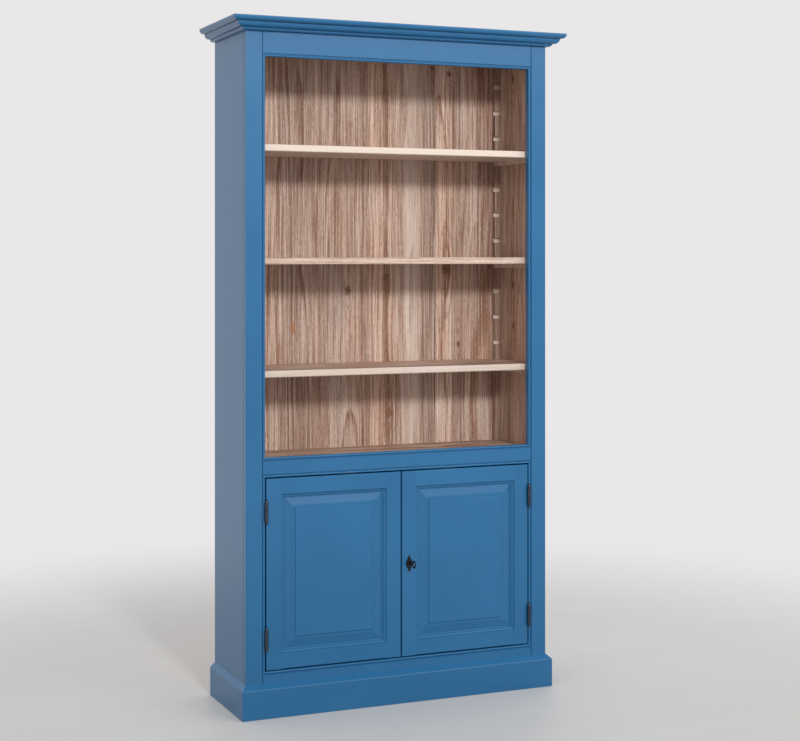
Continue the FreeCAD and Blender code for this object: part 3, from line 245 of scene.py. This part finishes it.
def find_lath(g, given):
    """The lath's three random numbers, the place across it and the distance from its joint."""
    place = g.plus(g.over(given["Across"], given["Lath"]), g.times(given["Seed"], LATH_SEED_STEP))
    inputs = {"W": place, "Scale": 1.0, "Randomness": LATH_UNEVENNESS}
    cell = g.add("TexVoronoi", inputs, voronoi_dimensions="1D").outputs
    edge = g.add("TexVoronoi", inputs, voronoi_dimensions="1D", feature="DISTANCE_TO_EDGE").outputs
    chances = g.add("SeparateColor", {"Color": cell["Color"]}).outputs
    local = g.times(g.minus(place, cell["W"]), given["Lath"])
    return chances, local, g.times(edge["Distance"], given["Lath"])


def find_radius(g, given, chances, local, ripple):
    """The distance from the pith, which has its own place and slant behind each lath."""
    along, seed = given["Along"], given["Seed"]
    red, green = chances["Red"], chances["Green"]
    drift = g.noise(g.place(g.times(red, 31.0), seed, g.times(along, 0.9)))
    sway = g.noise(g.place(seed, g.times(green, 23.0), g.times(along, 1.3)))
    pith = g.around(red, PITH_BAND, g.around(drift, PITH_WANDER, 0.0))
    behind = g.mad(green, PITH_DEEPER, g.around(sway, PITH_WANDER, PITH_DEPTH))
    behind = g.mad(along, PITH_SLANT, behind)
    aside = g.plus(g.minus(local, pith), given["Shift"])
    radius = g.length(aside, g.plus(behind, given["Depth"]))
    return g.around(ripple, RING_RIPPLE, radius)


def find_late_wood(g, given, radius):
    """How late the wood is: each ring starts with pale early wood, and its late wood ends sharply."""
    count = g.over(radius, given["Ring"])
    uneven = g.add("TexNoise", {"W": g.times(count, 0.23), "Scale": 1.0}, noise_dimensions="1D")
    count = g.mad(uneven.outputs["Fac"], 2.6, count)
    part = g.math("FRACT", count)
    chance = g.add("TexWhiteNoise", {"W": g.math("FLOOR", count)}, noise_dimensions="1D").outputs["Value"]
    late = g.times(g.step(part, 0.3, 0.85), g.step(part, 0.9, 1.0, 1.0, 0.0))
    return g.times(late, g.mad(chance, 0.75, 0.25))


def lay_fibres(g, colour, given, places, fibre, fleck):
    """Veins, streaks, fibres and pores, and the wash that lies in them."""
    across, depth, along = places
    seed = given["Seed"]
    place = g.place(g.times(across, 120.0), g.times(depth, 120.0), g.mad(along, 1.5, seed))
    vein = g.noise(place, 1.0, 2.0, 0.7)
    crowd = g.noise(g.place(g.times(across, 17.0), seed, g.times(along, 0.8)))
    vein = g.times(g.step(vein, 0.52, 0.62), g.step(crowd, 0.42, 0.6, 0.05, 0.6))
    colour = g.mix(vein, colour, VEIN)
    streak = g.grain(places, 230.0, 2.6, 3.0, 0.65)
    dash = g.grain(places, 360.0, 60.0, 1.0)
    # The noise, the levels at which the layer starts and is full, its full strength and its colour.
    layers = (
        (streak, 0.48, 0.66, 0.62, STREAK_DARK),
        (streak, 0.46, 0.34, 0.5, STREAK_PALE),
        (fibre, 0.5, 0.64, 0.5, FIBRE_DARK),
        (fibre, 0.47, 0.34, 0.5, FIBRE_PALE),
        (dash, 0.56, 0.68, 0.3, DASH_DARK),
        (dash, 0.43, 0.32, 0.22, DASH_PALE),
        (fleck, 0.64, 0.74, 0.5, FLECK),
    )
    for noise, start, full, strength, layer in layers:
        colour = g.mix(g.step(noise, start, full, 0.0, strength), colour, layer)
    return colour


def tone_laths(g, colour, given, chance, cloud):
    """Each lath and each cloud in it a little lighter or darker than the board's tone."""
    tone = g.around(chance, 0.4, given["Tone"])
    tone = g.times(tone, g.around(cloud, 0.4, 1.0))
    grey = g.add("CombineColor", {"Red": tone, "Green": tone, "Blue": tone}).outputs[0]
    return g.mix(1.0, colour, grey, "MULTIPLY")


def lay_resin(g, colour, given, ripple):
    """Resin pockets with a ragged edge."""
    near = g.around(ripple, 0.7, given["Resin"])
    return g.mix(g.step(near, 0.75, 1.1, 0.75, 0.0), colour, RESIN)


def lay_bent_grain(g, colour, given, ripple):
    """Dark lines that flow around a knot, fainter farther out."""
    drawn = g.around(ripple, 1.2, given["Drawn"])
    lines = g.step(g.math("SINE", g.times(drawn, 7.5)), 0.1, 0.9)
    lines = g.times(lines, g.step(drawn, 1.2, 3.0, 0.5, 0.0))
    return g.mix(lines, colour, BENT_GRAIN)


def lay_knots(g, colour, given, places):
    """Knots: a warm halo, an uneven dark rim, rings within and a dark heart."""
    near = g.around(g.grain(places, 130.0, 80.0, 3.0, 0.6), 1.7, given["Knot"])
    colour = g.mix(g.step(near, 0.9, 2.2, 0.3, 0.0), colour, KNOT_HALO)
    rings = g.math("SINE", g.times(near, 14.0))
    knot = g.mix(g.mad(rings, 0.5, 0.5), KNOT_PALE, KNOT_DARK)
    knot = g.mix(g.step(near, 0.1, 0.45, 0.85, 0.0), knot, KNOT_HEART)
    rim = g.times(g.step(near, 0.7, 0.92, 0.0, 0.8), g.step(near, 1.0, 1.2, 1.0, 0.0))
    knot = g.mix(rim, knot, KNOT_RIM)
    return g.mix(g.step(near, 0.9, 1.25, 0.9, 0.0), colour, knot)


def make_pine_group():
    """Pine seen on any face: colour and height."""
    tree, g, given, result = new_group(
        "pine",
        ("Across", "Depth", "Along", "Shift", "Knot", "Drawn", "Resin", "Seed", "Lath", "Ring", "Tone"),
        ("Color", "Height"),
    )
    across, depth, along = given["Across"], given["Depth"], given["Along"]
    places = (across, depth, along)

    chances, local, joint_distance = find_lath(g, given)
    ripple = g.grain(places, 70.0, 7.0)
    late = find_late_wood(g, given, find_radius(g, given, chances, local, ripple))
    fibre = g.grain(places, 340.0, 7.0, 3.0, 0.6)
    fleck = g.grain(places, 800.0, 90.0, 1.0)
    place = g.place(g.times(across, 9.0), g.plus(given["Seed"], depth), g.times(along, 2.4))
    cloud = g.noise(place, 1.0, 3.0, 0.55)
    joint = g.step(joint_distance, 0.0002, 0.0009, 0.35, 0.0)

    early = g.mix(chances["Blue"], EARLY_WARM, EARLY_DULL)
    early = g.mix(g.step(cloud, 0.35, 0.7), early, EARLY_PALE)
    colour = g.mix(late, early, g.mix(chances["Red"], LATE_DULL, LATE_WARM))
    colour = lay_fibres(g, colour, given, places, fibre, fleck)
    colour = tone_laths(g, colour, given, chances["Green"], cloud)
    colour = g.mix(joint, colour, JOINT)
    colour = lay_resin(g, colour, given, ripple)
    colour = lay_bent_grain(g, colour, given, ripple)
    g.feed(lay_knots(g, colour, given, places), result["Color"])

    height = g.mad(late, 0.35, g.times(fibre, -0.5))
    height = g.mad(fleck, -0.2, height)
    g.feed(g.mad(joint, -1.5, height), result["Height"])
    return tree


# ---------------------------------------------------------------------------------------
# Paint
# ---------------------------------------------------------------------------------------

PAINT_DEEP = srgb(29, 101, 149)
PAINT_PALE = srgb(33, 106, 154)
PAINT_BRUSHED = srgb(25, 90, 136)
PAINT_ROUGHNESS = 0.29
PAINT_SPECULAR = 0.5
PAINT_RELIEF = 0.00012


def make_paint_group():
    """Satin paint laid on along the grain: colour, roughness and height."""
    tree, g, given, result = new_group(
        "paint",
        ("Across", "Depth", "Along", "Seed"),
        ("Color", "Roughness", "Height"),
    )
    across, depth, along = given["Across"], given["Depth"], given["Along"]
    brush = g.grain((across, depth, along), 420.0, 7.0, 3.0, 0.6)
    peel = g.noise(g.place(across, depth, along), 420.0, 1.0)
    cloud = g.noise(g.place(g.plus(across, given["Seed"]), depth, along), 3.2, 3.0, 0.55)
    colour = g.mix(g.step(cloud, 0.3, 0.7), PAINT_DEEP, PAINT_PALE)
    colour = g.mix(g.step(brush, 0.5, 0.75, 0.0, 0.18), colour, PAINT_BRUSHED)
    g.feed(colour, result["Color"])
    rough = g.around(cloud, 0.08, PAINT_ROUGHNESS)
    g.feed(g.around(brush, 0.06, rough), result["Roughness"])
    g.feed(g.mad(brush, 0.6, g.times(peel, 0.4)), result["Height"])
    return tree


# ---------------------------------------------------------------------------------------
# Materials
# ---------------------------------------------------------------------------------------

BLEMISH = make_blemish_group()
PINE = make_pine_group()
PAINT = make_paint_group()

# The axes across a board, through it and along its grain.
UPRIGHT = "XYZ"
SIDEWISE = "YXZ"
LYING = "YZX"
RAIL = "ZYX"
DEEPWISE = "XZY"

# The axis and the sign of faces that look backwards.
BACKWARDS = ("Y", 1)

METAL_RELIEF = 0.00006


def new_material(name):
    """An empty material: itself, its graph, its shader's inputs and its object's coordinates."""
    material = bpy.data.materials.new(name)
    material.use_nodes = True
    g = Graph(material.node_tree)
    shader = material.node_tree.nodes["Principled BSDF"].inputs
    return material, g, shader, g.add("TexCoord").outputs


def axes_of(g, coordinates, order):
    """The coordinates across, through and along, of a board whose axes are in that order."""
    parts = g.split(coordinates["Object"])
    return [parts[letter] for letter in order]


def raise_surface(g, shader, height, relief):
    """A bump map from that height, where the relief is the depth in metres of a height of 1."""
    bump = g.add("Bump", {"Height": height, "Strength": 1.0, "Distance": relief})
    g.feed(bump.outputs[0], shader["Normal"])


def pine(g, places, seed, lath, ring, tone, knots=(), resin=()):
    """The outputs of the pine group, with knots and resin pockets given as (across, along, radius)."""
    across, depth, along = places
    near = drawn = pocket = FAR
    shift = 0.0
    for x, z, radius in knots:
        made = g.group(BLEMISH, {"Across": across, "Along": along, "X": x, "Z": z, "Radius": radius,
                                 "Near": near, "Drawn": drawn, "Shift": shift, **KNOT_SHAPE})
        near, drawn, shift = made["Near"], made["Drawn"], made["Shift"]
    for x, z, radius in resin:
        made = g.group(BLEMISH, {"Across": across, "Along": along, "X": x, "Z": z, "Radius": radius,
                                 "Near": pocket, "Drawn": FAR, "Shift": shift, **RESIN_SHAPE})
        pocket, shift = made["Near"], made["Shift"]
    return g.group(PINE, {"Across": across, "Depth": depth, "Along": along, "Shift": shift, "Knot": near,
                          "Drawn": drawn, "Resin": pocket, "Seed": seed, "Lath": lath, "Ring": ring,
                          "Tone": tone})


def wood_material(name, order, seed, lath, knots=(), resin=(), tint=None, pale=None):
    """Washed pine. Where pale is given, that function says how much paler each place is."""
    material, g, shader, coordinates = new_material(name)
    places = axes_of(g, coordinates, order)
    wood = pine(g, places, seed, lath, WASHED_RING, WASHED_TONE, knots, resin)
    colour = wood["Color"]
    if tint:
        colour = g.mix(1.0, colour, tint, "MULTIPLY")
    if pale:
        colour = g.mix(pale(g, coordinates), colour, WASH_AND_PAINTED_LIGHT)
    g.feed(colour, shader["Base Color"])
    shader["Roughness"].default_value = WOOD_ROUGHNESS
    shader["Specular IOR Level"].default_value = WOOD_SPECULAR
    raise_surface(g, shader, wood["Height"], WOOD_RELIEF)
    return material


def washed_front_and_painted_underside_light(front):
    """The wash left on a level board's front edge, which is that strong, and painted light on its
    underside: a paler colour that stands in for light thrown up from the floor.
    """
    def washed(g, coordinates):
        normal = g.split(coordinates["Normal"])
        ahead = g.step(normal["Y"], -0.9, -0.2, front, 0.0)
        # Painted light: undersides are made paler to stand in for light bounced up from the floor.
        below = g.step(normal["Z"], -0.9, -0.3, UNDERSIDE_PAINTED_LIGHT, 0.0)
        return g.math("MAXIMUM", ahead, below)
    return washed


def washed_strip(g, coordinates):
    """An upright strip of the back, around a line right of the middle, where more wash was left."""
    line = 0.166
    core = 0.012
    edge = 0.045
    place = g.split(coordinates["Object"])
    patch = g.noise(g.place(g.times(place["X"], 34.0), 3.0, g.times(place["Z"], 5.0)), 1.0, 3.0)
    away = g.around(patch, 0.03, g.math("ABSOLUTE", g.minus(place["X"], line)))
    return g.times(g.step(away, core, edge, 0.5, 0.0), g.step(patch, 0.3, 0.6, 0.3, 1.0))


def washed_all_over(g, coordinates):
    """A wash that lies on every face, a little uneven."""
    return g.step(g.noise(coordinates["Object"], 30.0), 0.3, 0.7, 0.35, 0.6)


def notch_faces(rack, toward):
    """The paler faces in the notches of a rack whose notched side looks along Y with that sign: raw-cut
    wood, and painted light where the notches catch the lamp.
    """
    plane = toward * max(toward * corner[1] for corner in NODES[rack].bound_box)

    def raw(g, coordinates):
        inside = g.times(g.minus(plane, g.split(coordinates["Object"])["Y"]), toward)
        # Raw wood and painted light: faces inside the notch are made paler.
        inside = g.step(inside, 0.0005, 0.0012, 0.0, NOTCH_RAW_AND_PAINTED_LIGHT)
        turned = g.math("ABSOLUTE", g.split(coordinates["Normal"])["X"])
        return g.times(inside, g.step(turned, 0.4, 0.6, 1.0, 0.0))
    return raw


def painted_material(name, order, seed, bare=None, knots=()):
    """Painted wood. Where bare is given, as an axis and a sign, faces that look that way are bare pine."""
    material, g, shader, coordinates = new_material(name)
    places = axes_of(g, coordinates, order)
    across, depth, along = places
    paint = g.group(PAINT, {"Across": across, "Depth": depth, "Along": along, "Seed": seed})
    colour, rough, height = paint["Color"], paint["Roughness"], paint["Height"]
    if bare:
        axis, sign = bare
        wood = pine(g, places, seed, BARE_LATH, BARE_RING, BARE_TONE, knots)
        face = g.step(g.times(g.split(coordinates["Normal"])[axis], sign), 0.5, 0.6)
        colour = g.mix(face, colour, wood["Color"])
        rough = g.blend(face, rough, WOOD_ROUGHNESS)
        height = g.blend(face, height, wood["Height"])
    g.feed(colour, shader["Base Color"])
    g.feed(rough, shader["Roughness"])
    shader["Specular IOR Level"].default_value = PAINT_SPECULAR
    raise_surface(g, shader, height, PAINT_RELIEF)
    return material


def metal_material(name, dark, light, roughness, metallic):
    """Metal with a mottled finish."""
    material, g, shader, coordinates = new_material(name)
    mottle = g.noise(coordinates["Object"], 260.0, 4.0, 0.6)
    pits = g.noise(coordinates["Object"], 1500.0)
    g.feed(g.mix(g.step(mottle, 0.35, 0.68), dark, light), shader["Base Color"])
    g.feed(g.around(mottle, 0.3, roughness), shader["Roughness"])
    shader["Metallic"].default_value = metallic
    raise_surface(g, shader, g.mad(mottle, 0.6, pits), METAL_RELIEF)
    return material


# ---------------------------------------------------------------------------------------
# Finishes of the CAD nodes. Each wooden node has a material of its own, and its seed moves
# the grain.
# ---------------------------------------------------------------------------------------

BACK_BOARDS = sum(name.startswith("back_board_") for name in NODES)

# Knots and resin pockets in the back boards, as place across, height and radius.
BACK_KNOTS = {
    3: [(-0.063, 1.317, 0.009)],
    4: [(0.087, 0.901, 0.011), (0.076, 1.360, 0.008), (0.143, 1.948, 0.007)],
    5: [(0.301, 1.387, 0.013), (0.248, 2.083, 0.007), (0.312, 2.061, 0.006)],
    6: [(0.347, 1.127, 0.007)],
}
BACK_RESIN = {
    2: [(-0.259, 1.193, 0.008)],
}

# Knots in the sides' inner faces, as place in depth, height and radius.
SIDE_KNOTS = {
    "left": [(0.021, 1.655, 0.009)],
    "right": [(0.056, 1.332, 0.009), (0.052, 1.191, 0.008), (0.056, 2.041, 0.008)],
}

# Painted pieces that are there on each hand: name, axes, what the seed adds to the hand's, bare faces.
HAND_PIECES = (
    ("stile_%s", UPRIGHT, 2, BACKWARDS),
    ("cornice_%s", DEEPWISE, 3, None),
    ("plinth_%s", DEEPWISE, 4, None),
    ("%s_outer_stile", UPRIGHT, 5, BACKWARDS),
    ("%s_meeting_stile", UPRIGHT, 7, BACKWARDS),
    ("%s_top_rail", RAIL, 3, BACKWARDS),
    ("%s_bottom_rail", RAIL, 6, BACKWARDS),
    ("%s_panel", UPRIGHT, 8, BACKWARDS),
)

# Painted pieces that run across the front: name, seed, bare faces.
FRONT_PIECES = (
    ("rail_top", 21.0, BACKWARDS),
    ("rail_middle", 22.0, BACKWARDS),
    ("rail_bottom", 23.0, BACKWARDS),
    ("cornice_front", 25.0, None),
    ("plinth_front", 26.0, None),
)

# How much of the wash was left on the front edge of each level board.
LEVEL_BOARDS = {
    "shelf_lower": 0.6,
    "shelf_middle": 0.2,
    "shelf_upper": 0.85,
    "cabinet_shelf": 0.4,
    "deck_board": 0.4,
    "bottom_board": 0.4,
    "top_board": 0.4,
}

# Small washed pieces: name, axes, seed.
SMALL_PIECES = (
    ("shelf_cleats", SIDEWISE, 62.0),
    ("glue_blocks", RAIL, 61.0),
    ("door_stops", RAIL, 60.0),
)

BRONZE_NODES = ("escutcheon", "key")
IRON_NODES = ("hinge_frame_halves", "left_hinge_halves", "right_hinge_halves", "hinge_pins", "hinge_rings")
STEEL_NODES = ("hinge_frame_screws", "left_hinge_screws", "right_hinge_screws", "lock_case", "lock_bolt",
               "lock_strike", "bolt_plates", "bolt_keeper", "top_bolt", "bottom_bolt")


def dress(node, material):
    """Gives a CAD node's one slot that material."""
    NODES[node].data.materials[0] = material


def dress_back():
    for number in range(1, BACK_BOARDS + 1):
        material = wood_material("pine_back_%d" % number, UPRIGHT, 1.7 * number, BACK_LATH,
                                 BACK_KNOTS.get(number, ()), BACK_RESIN.get(number, ()), pale=washed_strip)
        dress("back_board_%d" % number, material)


def dress_hand(hand, seed, inward):
    """One hand's side, racks, stile, mouldings and door. The side's bare face looks inward along X."""
    side = "side_" + hand
    dress(side, painted_material(side, SIDEWISE, seed, ("X", inward), SIDE_KNOTS[hand]))
    for row, toward, offset in (("front", 1, 5), ("rear", -1, 4)):
        rack = "rack_%s_%s" % (row, hand)
        raw = notch_faces(rack, toward)
        # The tint darkens the rack, partly as painted shade from the face frame.
        dress(rack, wood_material(rack, SIDEWISE, seed + offset, RACK_LATH, tint=RACK_TONE_AND_PAINTED_SHADE, pale=raw))
    for pattern, order, offset, bare in HAND_PIECES:
        name = pattern % hand
        dress(name, painted_material(name, order, seed + offset, bare))


def dress_front():
    for name, seed, bare in FRONT_PIECES:
        dress(name, painted_material(name, RAIL, seed, bare))


def dress_level_boards():
    for number, (name, front) in enumerate(LEVEL_BOARDS.items()):
        seed = 31.0 + 1.9 * number
        dress(name, wood_material(name, LYING, seed, SHELF_LATH, pale=washed_front_and_painted_underside_light(front)))


def dress_small_pieces():
    for name, order, seed in SMALL_PIECES:
        dress(name, wood_material(name, order, seed, BLOCK_LATH, pale=washed_all_over))


def dress_metal():
    bronze = metal_material("bronze", srgb(18, 19, 24), srgb(46, 45, 49), 0.34, 0.7)
    iron = metal_material("iron", srgb(34, 41, 51), srgb(80, 93, 107), 0.3, 0.75)
    steel = metal_material("steel", srgb(150, 152, 156), srgb(186, 188, 190), 0.36, 1.0)
    for nodes, metal in ((BRONZE_NODES, bronze), (IRON_NODES, iron), (STEEL_NODES, steel)):
        for node in nodes:
            dress(node, metal)


# ---------------------------------------------------------------------------------------
# Floor, light and camera
# ---------------------------------------------------------------------------------------

# The floor's bounce is its colour where light spreads, so that little of it comes back to the object.
FLOOR_RADIUS = 6
FLOOR_CORNERS = 96
FLOOR_DROP = 0.0005
FLOOR_FADE_START = 1.2
FLOOR_FADE_END = 3.2
FLOOR_DEEP = srgb(211, 209, 207)
FLOOR_PALE = srgb(218, 217, 215)
FLOOR_BOUNCE = srgb(118, 116, 114)

BACKDROP = srgb(233, 231, 232)
CEILING = srgb(126, 126, 130)
LIGHT_BELOW = 0.22
LIGHT_ABOVE = 0.8

CAMERA_PLACE = (-2.082, -4.9765, 1.43)
CAMERA_TURN = -23.23
SENSOR_WIDTH = 36
LENS = 73.83
LENS_SHIFT = -0.14245


def seen_directly(g):
    """1 where the camera looks, also by way of gloss or glass, and 0 where light spreads."""
    path = g.add("LightPath").outputs
    seen = g.math("MAXIMUM", path["Is Camera Ray"], path["Is Glossy Ray"])
    return g.math("MAXIMUM", seen, path["Is Transmission Ray"])


def floor_material():
    """A pale, softly streaked floor that fades out a few metres away."""
    material, g, shader, coordinates = new_material("floor")
    place = coordinates["Object"]
    stretched = g.add("Mapping", {"Vector": place, "Scale": (0.7, 5.0, 1.0)}).outputs[0]
    pale = g.mix(g.noise(stretched, 2.0, 4.0, 0.6), FLOOR_DEEP, FLOOR_PALE)
    g.feed(g.mix(seen_directly(g), FLOOR_BOUNCE, pale), shader["Base Color"])
    shader["Roughness"].default_value = 0.5
    distance = g.add("VectorMath", {0: place}, operation="LENGTH").outputs["Value"]
    g.feed(g.step(distance, FLOOR_FADE_START, FLOOR_FADE_END, 1.0, 0.0), shader["Alpha"])
    return material


def make_floor():
    """A disc just below the object's underside."""
    angles = [2 * math.pi * corner / FLOOR_CORNERS for corner in range(FLOOR_CORNERS)]
    points = [(FLOOR_RADIUS * math.cos(angle), FLOOR_RADIUS * math.sin(angle), 0) for angle in angles]
    mesh = bpy.data.meshes.new("floor")
    mesh.from_pydata(points, [], [list(range(FLOOR_CORNERS))])
    mesh.materials.append(floor_material())
    floor = bpy.data.objects.new("floor", mesh)
    floor.location.z = -FLOOR_DROP
    bpy.context.scene.collection.objects.link(floor)


def make_world():
    """Even light, and a pale background with a dim ceiling for what the camera, gloss and glass see."""
    world = bpy.data.worlds.new("studio")
    bpy.context.scene.world = world
    world.use_nodes = True
    world.node_tree.nodes.clear()
    g = Graph(world.node_tree)
    height = g.split(g.add("TexCoord").outputs["Generated"])["Z"]
    level = g.step(height, -0.85, 0.2, LIGHT_BELOW, LIGHT_ABOVE)
    light = g.add("Background", {"Color": (1, 1, 1, 1), "Strength": level})
    backdrop = g.mix(g.step(height, 0.3, 0.8), BACKDROP, CEILING)
    view = g.add("Background", {"Color": backdrop, "Strength": 1.0})
    mix = g.add("MixShader", {0: seen_directly(g), 1: light.outputs[0], 2: view.outputs[0]})
    g.add("OutputWorld", {"Surface": mix.outputs[0]})


def hang_lamp(name, light, place, target):
    """A lamp at that place that shines at the target."""
    lamp = bpy.data.objects.new(name, light)
    lamp.location = place
    lamp.rotation_euler = (Vector(target) - Vector(place)).to_track_quat("-Z", "Y").to_euler()
    bpy.context.scene.collection.objects.link(lamp)
    return lamp


def make_spot(name, place, target, radius, power, cone):
    """A soft round lamp whose light fades towards the rim of its cone."""
    light = bpy.data.lights.new(name, "SPOT")
    light.shadow_soft_size = radius
    light.energy = power
    light.spot_size = math.radians(cone)
    light.spot_blend = 1
    hang_lamp(name, light, place, target)


def make_panel(name, place, target, width, height, power):
    """A wide soft panel of light, which the camera doesn't see."""
    light = bpy.data.lights.new(name, "AREA")
    light.shape = "RECTANGLE"
    light.size = width
    light.size_y = height
    light.energy = power
    hang_lamp(name, light, place, target).visible_camera = False


def make_camera():
    """The photograph's view: level, turned 23 degrees, with the lens shifted down."""
    camera = bpy.data.cameras.new("camera")
    camera.sensor_width = SENSOR_WIDTH
    camera.lens = LENS
    camera.shift_y = LENS_SHIFT
    view = bpy.data.objects.new("camera", camera)
    view.location = CAMERA_PLACE
    view.rotation_euler = Euler((math.radians(90), 0, math.radians(CAMERA_TURN)))
    bpy.context.scene.collection.objects.link(view)
    bpy.context.scene.camera = view


dress_back()
dress_hand("left", seed=11.3, inward=1)
dress_hand("right", seed=14.9, inward=-1)
dress_front()
dress_level_boards()
dress_small_pieces()
dress_metal()

make_floor()
make_world()
make_spot("key_lamp", place=(-0.6, -7.6, 4.25), target=(0.3, -0.14, 1.9), radius=0.5, power=1250, cone=41)
make_panel("soft_panel", place=(3.7, -5.8, 4.0), target=(0, -0.14, 0.7), width=4.2, height=1.3, power=68)
make_camera()
bpy.context.scene.view_settings.view_transform = "Standard"
